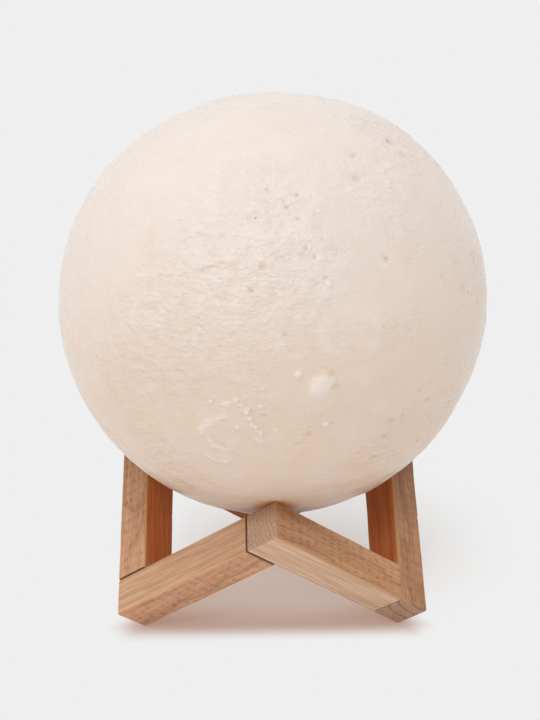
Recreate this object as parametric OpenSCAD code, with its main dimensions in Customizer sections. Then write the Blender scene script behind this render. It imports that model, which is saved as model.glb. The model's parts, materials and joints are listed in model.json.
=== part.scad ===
// Moon lamp: a hollow moulded moon with a rechargeable lamp inside it, which rests on
// three corners of a stand made of six equal square bars.
// Millimetres, +Z up. The origin is on the table, straight below the moon's centre.
// The stand's front corner points to -Y.

/* [Moon] */
// Diameter of the moon over its skin
moon_d = 150; // [130:5:200]
// Thickness of the moulded skin
skin_t = 2; // [1.6:0.2:3]
// Places on the spiral that the craters are set out on
crater_n = 64; // [20:2:90]
// Rim radius of the smallest crater
crater_small_r = 2.2; // [1.6:0.2:3]
// Rim radius of the largest crater
crater_large_r = 7.4; // [5:0.2:9]
// Depth of a crater for each millimetre of its rim radius
crater_slope = 0.1; // [0.05:0.01:0.14]
// Gap left between the moon's skin and the corners that it rests on
seat_gap = 0.2; // [0.1:0.05:0.3]

/* [Mouth of the moon] */
// Diameter of the opening under the moon
mouth_d = 40; // [38:1:44]
// Height of the collar that is turned in round the opening
collar_h = 6; // [5:0.5:8]
// Thickness of the collar
collar_t = 2; // [1.6:0.2:3]
// Depth of the seat that is sunk round the opening for the base's flange
seat_sunk = 0.5; // [0.3:0.1:0.8]

/* [Base] */
// How far the base's flange reaches past the opening
flange_lap = 2; // [1.4:0.2:2.6]
// Thickness of the base's disc
disc_t = 2.2; // [2:0.2:3]
// Thickness of the base's skirt
skirt_t = 1.6; // [1.2:0.2:2]
// Clearance between the skirt and the collar, and round the flange
skirt_fit = 0.3; // [0.2:0.05:0.4]
// Number of snap tongues cut in the skirt
tongue_n = 4; // [3:1:5]
// Width of a snap tongue, as an angle
tongue_angle = 26; // [20:1:32]
// How far a snap hook stands out from the skirt
hook_out = 0.7; // [0.5:0.1:0.9]
// Height of a snap hook
hook_h = 2; // [1.6:0.2:2.4]
// Width of the slot beside a snap tongue
slot_w = 1.2; // [0.8:0.2:1.6]

/* [Charging well] */
// Width of the well that takes the charging plug
well_w = 12.6; // [11.6:0.2:13]
// Height of the well's mouth, front to back
well_t = 6.8; // [6.4:0.2:7.2]
// Depth of the well, from the base's underside
well_deep = 4.8; // [4.2:0.2:5.4]
// Thickness of the well's walls and roof
well_wall = 1; // [0.8:0.1:1.2]
// Width of the charging socket's metal shell
socket_w = 9; // [8.6:0.1:9.4]
// Thickness of the charging socket's metal shell
socket_t = 3.3; // [3.2:0.1:3.6]
// Length of the charging socket
socket_l = 6.5; // [5.5:0.5:7.5]
// Wall of the charging socket's metal shell
socket_wall = 0.35; // [0.3:0.05:0.45]

/* [Power button] */
// Diameter of the power button
button_d = 9.6; // [8.4:0.2:10.4]
// How far the power button travels
button_travel = 0.6; // [0.3:0.1:0.9]
// Clearance between the button and its hole, on the radius
button_fit = 0.2; // [0.15:0.05:0.3]
// How far the button's retaining rim reaches past its face
button_rim = 1.2; // [1:0.1:1.4]
// Thickness of the button's retaining rim
button_rim_t = 1.2; // [1:0.1:1.6]
// Depth of the dished recess round the button
dish_deep = 0.8; // [0.6:0.1:1]
// Side of the switch's square body
switch_s = 6; // [5:0.5:7]
// Height of the switch's body
switch_h = 3.5; // [3:0.1:4]
// Length of the switch's plunger
plunger_l = 1.2; // [0.8:0.1:1.6]
// Diameter of the switch's plunger
plunger_d = 3.5; // [3:0.1:4]

/* [Charge light] */
// Diameter of the clear rod that shows the charge light
rod_d = 3; // [2.4:0.1:3.2]
// How far forward of the centre the clear rod stands
rod_y = -1; // [-1.4:0.1:-0.6]
// Wall of the guide that holds the clear rod
guide_wall = 0.8; // [0.6:0.1:1]
// Height of the guide
guide_h = 4.4; // [3:0.2:6]

/* [Lamp column] */
// Outside diameter of the column above its foot
column_d = 34; // [30:0.5:38]
// Room between the column's foot and the skirt, so that the snap tongues can bend
foot_gap = 1.1; // [0.8:0.1:1.4]
// Wall of the column
column_wall = 1.5; // [1.2:0.1:1.6]
// Thickness of the shelf that carries the light board
shelf_t = 2; // [1.6:0.2:2.6]
// How far the column's rim stands above the light board
rim_h = 3; // [2.4:0.2:4]
// Thickness of the ribs that hold the battery
rib_t = 1.2; // [0.8:0.1:1.6]
// Length of the ribs that hold the battery
rib_l = 40; // [20:1:44]
// Wall of the diffuser dome
dome_wall = 1.2; // [0.8:0.1:1.6]

/* [Battery] */
// Diameter of the battery
battery_d = 14.2; // [12:0.2:16]
// Length of the battery
battery_l = 50; // [46:1:60]
// Thickness of the foam pad at each end of the battery
pad_t = 2; // [1.6:0.1:3]
// Diameter of the foam pads
pad_d = 11; // [8:0.5:11.4]
// Diameter of a lead over its insulation
lead_d = 1.2; // [0.9:0.1:1.4]

/* [Boards] */
// Thickness of both circuit boards
board_t = 1.6; // [1.2:0.2:1.8]
// Clearance round a board inside the column, on the radius
board_fit = 0.4; // [0.3:0.05:0.6]
// Number of light chips
led_n = 8; // [6:1:10]
// Radius of the ring of light chips
led_ring_r = 9; // [8:0.5:10]
// Length of a light chip
led_l = 3.5; // [2.8:0.1:4]
// Height of a light chip
led_h = 1.4; // [1:0.1:1.8]

/* [Screws] */
// Shank diameter of the screws that hold the column
screw_d = 2; // [1.8:0.1:2.2]
// Head diameter of the screws that hold the column
head_d = 4.2; // [3.8:0.1:4.4]
// Head height of the screws that hold the column
head_h = 1.1; // [0.9:0.1:1.2]
// Length of the screws that hold the column, under the head
screw_l = 7; // [5:0.5:8]
// Diameter of the posts that carry the control board
post_d = 4.4; // [4:0.1:4.6]
// Distance of each post from the centre
post_x = 10; // [9.8:0.1:10.6]
// Shank diameter of the board screws
board_screw_d = 1.6; // [1.4:0.1:1.8]
// Length of the board screws, under the head
board_screw_l = 6; // [4:0.5:7]

/* [Stand] */
// Outer edge of the cube that the six bars run along
stand_cube = 79; // [74:1:100]
// Side of each square bar
bar_s = 14; // [13:0.5:18]
// Radius that eases every edge of a bar
arris_r = 1; // [0.6:0.1:1.6]
// Glue line in each corner joint
glue_line = 0.2; // [0.1:0.05:0.3]
// Diameter of the dowel in each corner joint
dowel_d = 6; // [5:0.5:7]
// Length of the dowel in each corner joint
dowel_l = 20; // [14:1:22]

/* [Hidden] */
$fn = 64;

// The moon's curve is shown with more faces than the small parts
moon_fn = 144;
// A cut runs this far past the face that it opens
cut = 1;

// Stand: the bars run along edges of a cube that stands on one corner, so every bar is
// parallel to an edge of the cube and every joint is square.
cube_tilt = atan(sqrt(2));
bar_l = stand_cube - bar_s - glue_line;
dowel_fit = 0.05;
dowel_end_gap = 0.3;
dowel_hole_l = (dowel_l - glue_line) / 2 + dowel_end_gap;
dowel_chamfer = 0.6;
// Distance from the cube's corner to the table, along the upright diagonal. An eased corner
// reaches arris_r * sqrt(3 / 2) from the point where its three arcs are centred.
table_s = (stand_cube - bar_s + 3 * arris_r) / sqrt(3) - arris_r * sqrt(3 / 2);

// Moon: its centre is on the upright diagonal, at equal distances from the three top corners
moon_r = moon_d / 2;
seat_reach = moon_r + seat_gap + arris_r;
corner_sum = 2 * stand_cube + bar_s;
corner_squares = 2 * pow(stand_cube, 2) + pow(bar_s, 2) - pow(seat_reach, 2);
centre_u = (corner_sum + sqrt(pow(corner_sum, 2) - 3 * corner_squares)) / 3;
moon_z = sqrt(3) * (centre_u - arris_r) - table_s;
// Angle below the moon's equator at which it rests on the corners
seat_lat = -asin((moon_z - (corner_sum - 3 * arris_r) / sqrt(3) + table_s) / seat_reach);
seat_clear = 13;
widest_clear = 10;
lowest_lat = -56;
golden = 180 * (3 - sqrt(5));
golden_part = (sqrt(5) - 1) / 2;

// Marks on the side that faces forward: [longitude from the front, latitude, radius, depth],
// where a depth below zero is a raised mark
front_marks = [
    [10, -3, 3.8, -0.6], [4, 0, 1.8, -0.2], [30, 25, 2.2, 0.6], [48, 15, 5.4, 0.4],
    [5, 44, 1.3, 0.3], [1, 42, 1.4, 0.3], [4, 38, 1.3, 0.3], [31, -16, 1.5, 0.3],
    [29, -21, 1.4, 0.3], [38, -9, 1.8, 0.3], [-19, -15, 4.2, 0.4], [-9, -9, 1.8, -0.4],
    [-6, -14, 1.7, -0.3], [43, 45, 4.6, 0.4], [-34, 12, 5, 0.3], [-30, 42, 6, 0.3],
    [18, 8, 7, 0.3], [-44, -12, 4, 0.3]
];
front_lon = 62;
front_low = -30;
front_high = 62;

// Base: its frame has z = 0 on the disc's upper face, against the seat round the opening
mouth_r = mouth_d / 2;
flange_r = mouth_r + flange_lap;
seat_r = flange_r + skirt_fit;
seat_drop = sqrt(pow(moon_r, 2) - pow(seat_r, 2)) - seat_sunk;
base_z = moon_z - seat_drop;
flange_chamfer = 0.8;
skirt_r = mouth_r - skirt_fit;
hook_gap = 0.3;
skirt_h = collar_h + hook_gap + hook_h;
hook_lip = 0.6;
hook_step = 0.2;
slot_floor = 1.5;

// Control board: its underside is where the charging socket's mouth stays clear in the well
socket_sunk = 0.3;
well_top = well_deep - disc_t;
board_z = well_top + socket_sunk + socket_l;
board_top = board_z + board_t;
socket_fit = 0.2;
socket_back = 1;
tongue_w = 6.7;
tongue_t = 0.7;
tongue_l = 4.4;

// Layout along Y: the charging well in front, the clear rod in the middle, the button behind
layout_gap = 0.5;
rod_fit = 0.05;
guide_r = rod_d / 2 + rod_fit + guide_wall;
well_y = rod_y - guide_r - layout_gap - well_wall - well_t / 2;
button_r = button_d / 2;
button_rim_r = button_r + button_rim;
button_y = rod_y + guide_r + layout_gap + button_rim_r;
button_stop_gap = 0.1;
button_face_z = -disc_t + 0.3;
button_crown = 0.25;
dish_r = button_rim_r + 1;
plunger_z = board_z - switch_h - plunger_l;
plunger_gap = 0.1;
stem_r = 1.7;
stem_top = plunger_z - button_travel - plunger_gap;

// Charge light
rod_foot_z = -disc_t + 0.2;
rod_rim_t = 0.8;
rod_rim = 0.5;
charge_led_h = 0.8;
charge_led_w = 2;
charge_led_l = 1.25;
rod_gap = 0.2;
rod_top = board_z - charge_led_h - rod_gap;

// Lamp column, battery and light board, stacked on the control board. The column's foot is
// sized to stand inside the base's skirt, and its tube above has a diameter of its own.
foot_r = skirt_r - skirt_t - foot_gap;
foot_bore_r = foot_r - column_wall;
foot_h = skirt_h + hook_gap;
step_t = 0.7;
column_r = column_d / 2;
column_bore_r = column_r - column_wall;
battery_z = board_top + pad_t;
shelf_z = battery_z + battery_l + pad_t;
light_board_z = shelf_z + shelf_t;
light_board_top = light_board_z + board_t;
column_h = light_board_top + rim_h;
board_r = column_bore_r - board_fit;
battery_fit = 0.3;
rib_n = 4;
boss_r = 2.3;
boss_bite = 0.6;
boss_x = foot_bore_r - boss_r + boss_bite;
boss_h = screw_l + 1.4;
screw_angles = [40, 140, 210, 330];
screw_fit = 0.05;
screw_hole_fit = 0.3;
head_fit = 0.3;
head_sunk = 0.2;
board_head_r = 1.8;
board_head_h = 1.1;
board_hole_fit = 0.2;
post_y = 1;
spigot_fit = 0.2;
spigot_gap = 0.1;
slot_in_head_w = 0.5;
slot_in_head_deep = 0.5;

// Leads: they leave the battery between its ribs, and the light leads run up by the wall
lead_r = lead_d / 2;
lead_touch = 0.05;
battery_lead_angle = 30;
battery_lead_r = battery_d / 2 + battery_fit + lead_r;
battery_lead_foot_r = battery_lead_r + 2;
light_lead_y = column_bore_r - lead_r - 1.2;
light_lead_x = 3;
lead_slot_w = 2 * light_lead_x + 4;
lead_slot_t = 3;

// Small parts on the control board, set in from its edge
chip_size = [5, 4, 1.5];
chip_inset = 2.8;
chip_y = board_r - chip_inset - chip_size.y / 2;
part_inset = 0.6;
coil_r = 2.3;
coil_h = 2.6;
coil_base = 5;
coil_x = board_r - part_inset - coil_base / 2;
coil_angle = 315;
capacitor_size = [1.6, 3.2, 1.6];
capacitor_x = board_r - part_inset - capacitor_size.x / 2;
capacitor_angles = [205, 225, 245];

// A point on the unit ball, at a longitude from the front and a latitude
function unit_at(lon, lat) = [cos(lat) * sin(lon), -cos(lat) * cos(lon), sin(lat)];
function largest(v) = max(abs(v.x), abs(v.y), abs(v.z));
// Longitude brought to -180..180
function wrapped(a) = a - 360 * round(a / 360);
function in_front(lon, lat) =
    abs(lon) < front_lon && lat > front_low && lat < front_high;
// True where a mark would touch a corner that carries the moon
function near_seat(v) =
    max([for (k = [0 : 2]) v * unit_at(120 * k, seat_lat)]) > cos(seat_clear);
function spiral_lat(i) = asin(1 - (2 * i + 1) / crater_n);
function spiral_lon(i) = wrapped(golden * i);
// Sizes along the spiral follow the golden ratio too, with small craters the most common
function part_of(i) = golden_part * i - floor(golden_part * i);
function spiral_r(i) =
    crater_small_r + (crater_large_r - crater_small_r) * pow(part_of(7 * i + 3), 2);
craters = [
    for (i = [0 : crater_n - 1])
    let (lat = spiral_lat(i), lon = spiral_lon(i), v = unit_at(lon, lat), r = spiral_r(i))
    if (lat > lowest_lat && !in_front(lon, lat) && !near_seat(v)
        && largest(v) < cos(widest_clear))
    [lon, lat, r, r * crater_slope]
];

// A rectangle with eased corners, from the origin
module eased_rect(w, h, r) {
    translate([r, 0]) square([w - 2 * r, h]);
    translate([0, r]) square([w, h - 2 * r]);
    for (x = [r, w - r], y = [r, h - r])
        translate([x, y]) circle(r);
}

// A block with all its edges eased
module eased_block(x, y, z, r) {
    intersection() {
        linear_extrude(z) eased_rect(x, y, r);
        translate([0, y, 0]) rotate([90, 0, 0]) linear_extrude(y) eased_rect(x, z, r);
        rotate([90, 0, 90]) linear_extrude(x) eased_rect(y, z, r);
    }
}

module tube(outer_r, inner_r, h) {
    difference() {
        cylinder(r = outer_r, h = h);
        translate([0, 0, -cut]) cylinder(r = inner_r, h = h + 2 * cut);
    }
}

// A flat-sided shape with round ends, centred
module stadium(w, t) {
    square([w - t, t], center = true);
    for (side = [-1, 1])
        translate([side * (w - t) / 2, 0]) circle(d = t);
}

// Stand

module dowel_hole() {
    cylinder(d = dowel_d + 2 * dowel_fit, h = dowel_hole_l + cut);
}

// One bar, with its bare end at x = 0. The next bar meets its upper face there, and its
// other end meets the side of the bar after it.
module bar() {
    difference() {
        eased_block(bar_l, bar_s, bar_s, arris_r);
        translate([bar_s / 2, bar_s / 2, bar_s - dowel_hole_l]) dowel_hole();
        translate([bar_l - dowel_hole_l, bar_s / 2, bar_s / 2])
            rotate([0, 90, 0]) dowel_hole();
    }
}

module bar_dowel() {
    translate([bar_l + glue_line / 2 - dowel_l / 2, bar_s / 2, bar_s / 2]) rotate([0, 90, 0]) {
        cylinder(d1 = dowel_d - 2 * dowel_chamfer, d2 = dowel_d, h = dowel_chamfer);
        translate([0, 0, dowel_chamfer]) cylinder(d = dowel_d, h = dowel_l - 2 * dowel_chamfer);
        translate([0, 0, dowel_l - dowel_chamfer])
            cylinder(d1 = dowel_d, d2 = dowel_d - 2 * dowel_chamfer, h = dowel_chamfer);
    }
}

// The cube's frame, stood on its corner and lowered to the table
module upright(k) {
    rotate([0, 0, 120 * k]) translate([0, 0, -table_s])
        rotate([0, 0, -90]) rotate([0, -cube_tilt, 0]) rotate([0, 0, -45]) children();
}

// A bar whose bare end is a foot on the table, and one whose bare end is a top corner
module foot_bar_place(k) { upright(k) translate([stand_cube, 0, 0]) rotate([0, 0, 90]) children(); }
module top_bar_place(k) {
    upright(k) translate([stand_cube, stand_cube, bar_s]) rotate([-90, 0, 180]) children();
}

module front_left_bar() { color("#c9a17d") foot_bar_place(0) bar(); }
module right_bar() { color("#c39a75") foot_bar_place(1) bar(); }
module back_left_bar() { color("#c9a17d") foot_bar_place(2) bar(); }
module front_right_bar() { color("#cfa884") top_bar_place(0) bar(); }
module back_right_bar() { color("#c39a75") top_bar_place(1) bar(); }
module left_bar() { color("#cfa884") top_bar_place(2) bar(); }

module stand_dowels() {
    color("#d8bc98") for (k = [0 : 2]) {
        foot_bar_place(k) bar_dowel();
        top_bar_place(k) bar_dowel();
    }
}

// Moon

module at_moon() { translate([0, 0, moon_z]) children(); }

// A ball that cuts a dent of radius r and depth d in the skin, or stands out by -d
module skin_mark(mark) {
    r = mark[2];
    d = abs(mark[3]);
    ball_r = (r * r + d * d) / (2 * d);
    away = mark[3] > 0 ? moon_r - d + ball_r : moon_r + d - ball_r;
    translate(away * unit_at(mark[0], mark[1])) sphere(r = ball_r, $fn = moon_fn);
}

module moon_ball() {
    difference() {
        union() {
            sphere(r = moon_r, $fn = moon_fn);
            for (mark = front_marks) if (mark[3] < 0) skin_mark(mark);
        }
        for (mark = front_marks) if (mark[3] > 0) skin_mark(mark);
        for (mark = craters) skin_mark(mark);
    }
}

module moon_shell() {
    mouth_h = moon_r - seat_drop;
    color("#f0e2d4") at_moon() difference() {
        union() {
            difference() {
                moon_ball();
                sphere(r = moon_r - skin_t, $fn = moon_fn);
            }
            translate([0, 0, -seat_drop]) tube(mouth_r + collar_t, mouth_r, collar_h);
        }
        translate([0, 0, -moon_r - cut]) cylinder(r = mouth_r, h = mouth_h + collar_h + 2 * cut);
        translate([0, 0, -moon_r - cut]) cylinder(r = seat_r, h = mouth_h + cut);
    }
}

// Base

module at_base() { translate([0, 0, base_z]) children(); }
module at_posts() { for (side = [-1, 1]) translate([side * post_x, post_y, 0]) children(); }
module at_column_screws() { for (a = screw_angles) rotate([0, 0, a]) translate([boss_x, 0, 0]) children(); }

// A disc with its lower edge chamfered
module flange_disc() {
    rotate_extrude() polygon([
        [0, -disc_t], [flange_r - flange_chamfer, -disc_t],
        [flange_r, -disc_t + flange_chamfer], [flange_r, 0], [0, 0]
    ]);
}

module snap_hook() {
    foot = skirt_h - hook_h;
    rotate([0, 0, -tongue_angle / 2]) rotate_extrude(angle = tongue_angle) polygon([
        [skirt_r - skirt_t / 2, foot], [skirt_r + hook_out, foot],
        [skirt_r + hook_out, foot + hook_lip], [skirt_r + hook_step, skirt_h - hook_step],
        [skirt_r - skirt_t / 2, skirt_h - hook_step]
    ]);
}

module tongue_slots() {
    edge = tongue_angle / 2 + asin(slot_w / 2 / skirt_r);
    for (side = [-1, 1]) rotate([0, 0, side * edge])
        translate([skirt_r - 2 * skirt_t, -slot_w / 2, slot_floor])
            cube([3 * skirt_t, slot_w, skirt_h]);
}

module base_cap() {
    color("#f4f1ec") at_base() difference() {
        union() {
            flange_disc();
            difference() {
                tube(skirt_r, skirt_r - skirt_t, skirt_h);
                for (k = [0 : tongue_n - 1]) rotate([0, 0, 360 * (k + 0.5) / tongue_n]) tongue_slots();
            }
            for (k = [0 : tongue_n - 1]) rotate([0, 0, 360 * (k + 0.5) / tongue_n]) snap_hook();
            translate([-well_w / 2 - well_wall, well_y - well_t / 2 - well_wall, -disc_t / 2])
                cube([well_w + 2 * well_wall, well_t + 2 * well_wall, disc_t / 2 + well_top + well_wall]);
            translate([0, rod_y, -disc_t / 2]) cylinder(r = guide_r, h = disc_t / 2 + guide_h);
            at_posts() translate([0, 0, -disc_t / 2]) cylinder(d = post_d, h = disc_t / 2 + board_z);
        }
        translate([-well_w / 2, well_y - well_t / 2, -disc_t - cut])
            cube([well_w, well_t, well_deep + cut]);
        translate([0, well_y, well_top - cut])
            linear_extrude(well_wall + 2 * cut) stadium(socket_w + 2 * socket_fit, socket_t + 2 * socket_fit);
        translate([0, button_y, -disc_t - cut]) {
            cylinder(r = button_r + button_fit, h = disc_t + 2 * cut);
            cylinder(r = dish_r, h = dish_deep + cut);
        }
        translate([0, rod_y, -disc_t - cut]) cylinder(r = rod_d / 2 + rod_fit, h = disc_t + guide_h + 2 * cut);
        at_column_screws() translate([0, 0, -disc_t - cut]) {
            cylinder(d = screw_d + 2 * screw_hole_fit, h = disc_t + 2 * cut);
            cylinder(d = head_d + 2 * head_fit, h = head_h + head_sunk + cut);
        }
        at_posts() translate([0, 0, board_z - board_screw_l])
            cylinder(d = board_screw_d + 2 * screw_fit, h = board_screw_l + cut);
    }
}

module power_button() {
    face_h = button_stop_gap - button_face_z;
    crown_r = (pow(button_r, 2) + pow(button_crown, 2)) / (2 * button_crown);
    color("#e9e4dc") at_base() translate([0, button_y, 0]) {
        intersection() {
            translate([0, 0, button_face_z]) cylinder(r = button_r, h = face_h);
            translate([0, 0, button_face_z + crown_r]) sphere(r = crown_r, $fn = moon_fn);
        }
        translate([0, 0, button_stop_gap]) cylinder(r = button_rim_r, h = button_rim_t);
        translate([0, 0, button_stop_gap + button_rim_t])
            cylinder(r = stem_r, h = stem_top - button_stop_gap - button_rim_t);
    }
}

module charge_rod() {
    color("#dfe6e8") at_base() translate([0, rod_y, 0]) {
        translate([0, 0, rod_foot_z]) cylinder(d = rod_d, h = guide_h - rod_foot_z);
        translate([0, 0, guide_h]) cylinder(r = rod_d / 2 + rod_rim, h = rod_rim_t);
        translate([0, 0, guide_h + rod_rim_t])
            cylinder(d = rod_d, h = rod_top - guide_h - rod_rim_t);
    }
}

module charge_led() {
    color("#f7e9b0") at_base() translate([-charge_led_w / 2, rod_y - charge_led_l / 2, board_z - charge_led_h])
        cube([charge_led_w, charge_led_l, charge_led_h]);
}

module usb_socket() {
    inner_w = socket_w - 2 * socket_wall;
    inner_t = socket_t - 2 * socket_wall;
    color("#b9bbbd") at_base() translate([0, well_y, board_z - socket_l]) {
        difference() {
            linear_extrude(socket_l) stadium(socket_w, socket_t);
            translate([0, 0, -cut]) linear_extrude(socket_l - socket_back + cut) stadium(inner_w, inner_t);
        }
        translate([-tongue_w / 2, -tongue_t / 2, socket_l - socket_back - tongue_l])
            cube([tongue_w, tongue_t, tongue_l + socket_back / 2]);
    }
}

module tact_switch() {
    color("#3a3a3c") at_base() translate([0, button_y, 0]) {
        translate([-switch_s / 2, -switch_s / 2, board_z - switch_h]) cube([switch_s, switch_s, switch_h]);
        translate([0, 0, plunger_z]) cylinder(d = plunger_d, h = plunger_l);
    }
}

module control_board() {
    color("#2f6b45") at_base() difference() {
        translate([0, 0, board_z]) cylinder(r = board_r, h = board_t);
        at_posts() translate([0, 0, board_z - cut])
            cylinder(d = board_screw_d + 2 * board_hole_fit, h = board_t + 2 * cut);
    }
}

module driver_chips() {
    color("#26272a") at_base() for (side = [-1, 1])
        translate([-chip_size.x / 2, side * chip_y - chip_size.y / 2, board_top]) cube(chip_size);
}

module power_coil() {
    color("#4a4a4d") at_base() rotate([0, 0, coil_angle]) translate([coil_x, 0, board_top]) {
        translate([-coil_base / 2, -coil_base / 2, 0]) cube([coil_base, coil_base, coil_h / 4]);
        translate([0, 0, coil_h / 4]) cylinder(r = coil_r, h = coil_h * 3 / 4);
    }
}

module capacitors() {
    color("#b89b72") at_base() for (a = capacitor_angles) rotate([0, 0, a])
        translate([capacitor_x - capacitor_size.x / 2, -capacitor_size.y / 2, board_top])
            cube(capacitor_size);
}

// A screw with its head's outer face at z = 0 and its shank towards +Z
module pan_screw(shank_d, shank_l, cap_r, cap_h) {
    difference() {
        union() {
            cylinder(r = cap_r, h = cap_h);
            translate([0, 0, cap_h]) cylinder(d = shank_d, h = shank_l);
        }
        for (a = [0, 90]) rotate([0, 0, a])
            translate([-cap_r * 0.6, -slot_in_head_w / 2, -cut])
                cube([cap_r * 1.2, slot_in_head_w, slot_in_head_deep + cut]);
    }
}

module column_screws() {
    color("#a7a9ab") at_base() at_column_screws() translate([0, 0, -disc_t + head_sunk])
        pan_screw(screw_d, screw_l, head_d / 2, head_h);
}

module board_screws() {
    color("#a7a9ab") at_base() at_posts() translate([0, 0, board_top + board_head_h])
        mirror([0, 0, 1]) pan_screw(board_screw_d, board_screw_l, board_head_r, board_head_h);
}

// Lamp column

module column_tube() {
    difference() {
        union() {
            cylinder(r = foot_r, h = foot_h + step_t);
            translate([0, 0, foot_h]) cylinder(r = column_r, h = column_h - foot_h);
        }
        translate([0, 0, -cut])
            cylinder(r = min(foot_bore_r, column_bore_r), h = column_h + 2 * cut);
        translate([0, 0, -cut]) cylinder(r = foot_bore_r, h = foot_h + cut);
        translate([0, 0, foot_h + step_t]) cylinder(r = column_bore_r, h = column_h);
    }
}

// Room for the well and the button's rim, where a narrower foot would meet them
module foot_notches() {
    side = well_wall + layout_gap;
    translate([-well_w / 2 - side, well_y - well_t / 2 - side, -cut])
        cube([well_w + 2 * side, well_t + 2 * side, well_top + side + cut]);
    translate([0, button_y, -cut])
        cylinder(r = button_rim_r + layout_gap,
                 h = button_stop_gap + button_rim_t + button_travel + layout_gap + cut);
}

module battery_ribs() {
    inner = battery_d / 2 + battery_fit;
    for (k = [0 : rib_n - 1]) rotate([0, 0, 360 * k / rib_n])
        translate([inner, -rib_t / 2, battery_z + (battery_l - rib_l) / 2])
            cube([column_bore_r + column_wall / 2 - inner, rib_t, rib_l]);
}

module lamp_column() {
    color("#f7f6f2") at_base() difference() {
        union() {
            column_tube();
            translate([0, 0, shelf_z]) cylinder(r = column_bore_r + column_wall / 2, h = shelf_t);
            battery_ribs();
            at_column_screws() intersection() {
                cylinder(r = boss_r, h = boss_h);
                translate([-boss_x, 0, 0]) cylinder(r = foot_r, h = boss_h);
            }
        }
        foot_notches();
        at_column_screws() translate([0, 0, -cut]) cylinder(d = screw_d + 2 * screw_fit, h = screw_l + cut);
        translate([-lead_slot_w / 2, light_lead_y - lead_slot_t / 2, shelf_z - cut])
            cube([lead_slot_w, lead_slot_t, shelf_t + 2 * cut]);
    }
}

module diffuser_dome() {
    spigot_r = column_bore_r - spigot_fit;
    spigot_z = light_board_top + spigot_gap;
    color("#fbfaf6") at_base() {
        translate([0, 0, column_h]) difference() {
            sphere(r = column_r);
            sphere(r = spigot_r - dome_wall);
            translate([-column_d, -column_d, -2 * column_d]) cube(2 * column_d);
        }
        translate([0, 0, spigot_z]) tube(spigot_r, spigot_r - dome_wall, column_h - spigot_z);
    }
}

module battery() {
    shoulder = 0.8;
    color("#2f6fb0") at_base() translate([0, 0, battery_z]) rotate_extrude() polygon([
        [0, 0], [battery_d / 2 - shoulder, 0], [battery_d / 2, shoulder],
        [battery_d / 2, battery_l - shoulder], [battery_d / 2 - shoulder, battery_l], [0, battery_l]
    ]);
}

module battery_pads() {
    color("#3d3d40") at_base() for (z = [board_top, battery_z + battery_l])
        translate([0, 0, z]) cylinder(d = pad_d, h = pad_t);
}

// A round lead from point to point, with a round bend at each inner point
module lead(points) {
    for (i = [0 : len(points) - 2]) {
        run = points[i + 1] - points[i];
        translate(points[i]) rotate([0, acos(run.z / norm(run)), atan2(run.y, run.x)])
            cylinder(r = lead_r, h = norm(run), $fn = 24);
    }
    for (i = [1 : 1 : len(points) - 2]) translate(points[i]) sphere(r = lead_r, $fn = 24);
}

module battery_leads() {
    top_z = battery_z + battery_l + lead_r + lead_touch;
    foot_z = board_top + lead_r + lead_touch;
    start_r = pad_d / 2 + lead_r + lead_touch;
    color("#b5322c") at_base() {
        rotate([0, 0, battery_lead_angle]) lead([
            [start_r, 0, top_z], [battery_lead_r, 0, top_z], [battery_lead_r, 0, board_top]
        ]);
        rotate([0, 0, battery_lead_angle + 180])
            lead([[start_r, 0, foot_z], [battery_lead_foot_r, 0, foot_z]]);
    }
}

module light_leads() {
    color("#d9d4c8") at_base() for (side = [-1, 1])
        translate([side * light_lead_x, light_lead_y, board_top])
            cylinder(r = lead_r, h = light_board_z - board_top, $fn = 24);
}

module light_board() {
    color("#eceae4") at_base() translate([0, 0, light_board_z]) cylinder(r = board_r, h = board_t);
}

module light_chips() {
    color("#f4d66a") at_base() for (k = [0 : led_n - 1]) rotate([0, 0, 360 * k / led_n])
        translate([led_ring_r - led_l / 2, -led_l / 2, light_board_top]) cube([led_l, led_l, led_h]);
}

front_left_bar();
front_right_bar();
right_bar();
back_right_bar();
back_left_bar();
left_bar();
stand_dowels();
moon_shell();
base_cap();
power_button();
charge_rod();
charge_led();
usb_socket();
tact_switch();
control_board();
driver_chips();
power_coil();
capacitors();
board_screws();
column_screws();
lamp_column();
battery();
battery_pads();
battery_leads();
light_leads();
light_board();
light_chips();
diffuser_dome();
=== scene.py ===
"""Dresses the moon lamp: a soft moulded moon on a ring of six eased beech bars."""

import json
import math

import bmesh
import bpy
import numpy as np
from bpy.props import FloatProperty, FloatVectorProperty, IntProperty, PointerProperty
from bpy.types import Operator, Panel, PropertyGroup
from mathutils import Matrix, Vector, noise


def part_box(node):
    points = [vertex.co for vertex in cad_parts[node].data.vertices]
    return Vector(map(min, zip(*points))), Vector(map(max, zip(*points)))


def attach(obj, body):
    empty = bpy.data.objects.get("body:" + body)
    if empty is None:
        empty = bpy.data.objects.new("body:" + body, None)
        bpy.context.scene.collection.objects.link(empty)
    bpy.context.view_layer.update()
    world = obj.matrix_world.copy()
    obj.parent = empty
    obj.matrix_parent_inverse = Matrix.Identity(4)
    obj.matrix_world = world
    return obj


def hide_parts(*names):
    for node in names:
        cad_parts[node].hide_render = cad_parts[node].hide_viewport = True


bl_info = {
    "name": "Moon Lamp",
    "version": (1, 0, 0),
    "blender": (4, 5, 0),
    "location": "3D View > Sidebar > Moon Lamp",
    "description": "Dresses the parts of a moon lamp and sets its stage",
    "category": "Object",
}

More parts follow.
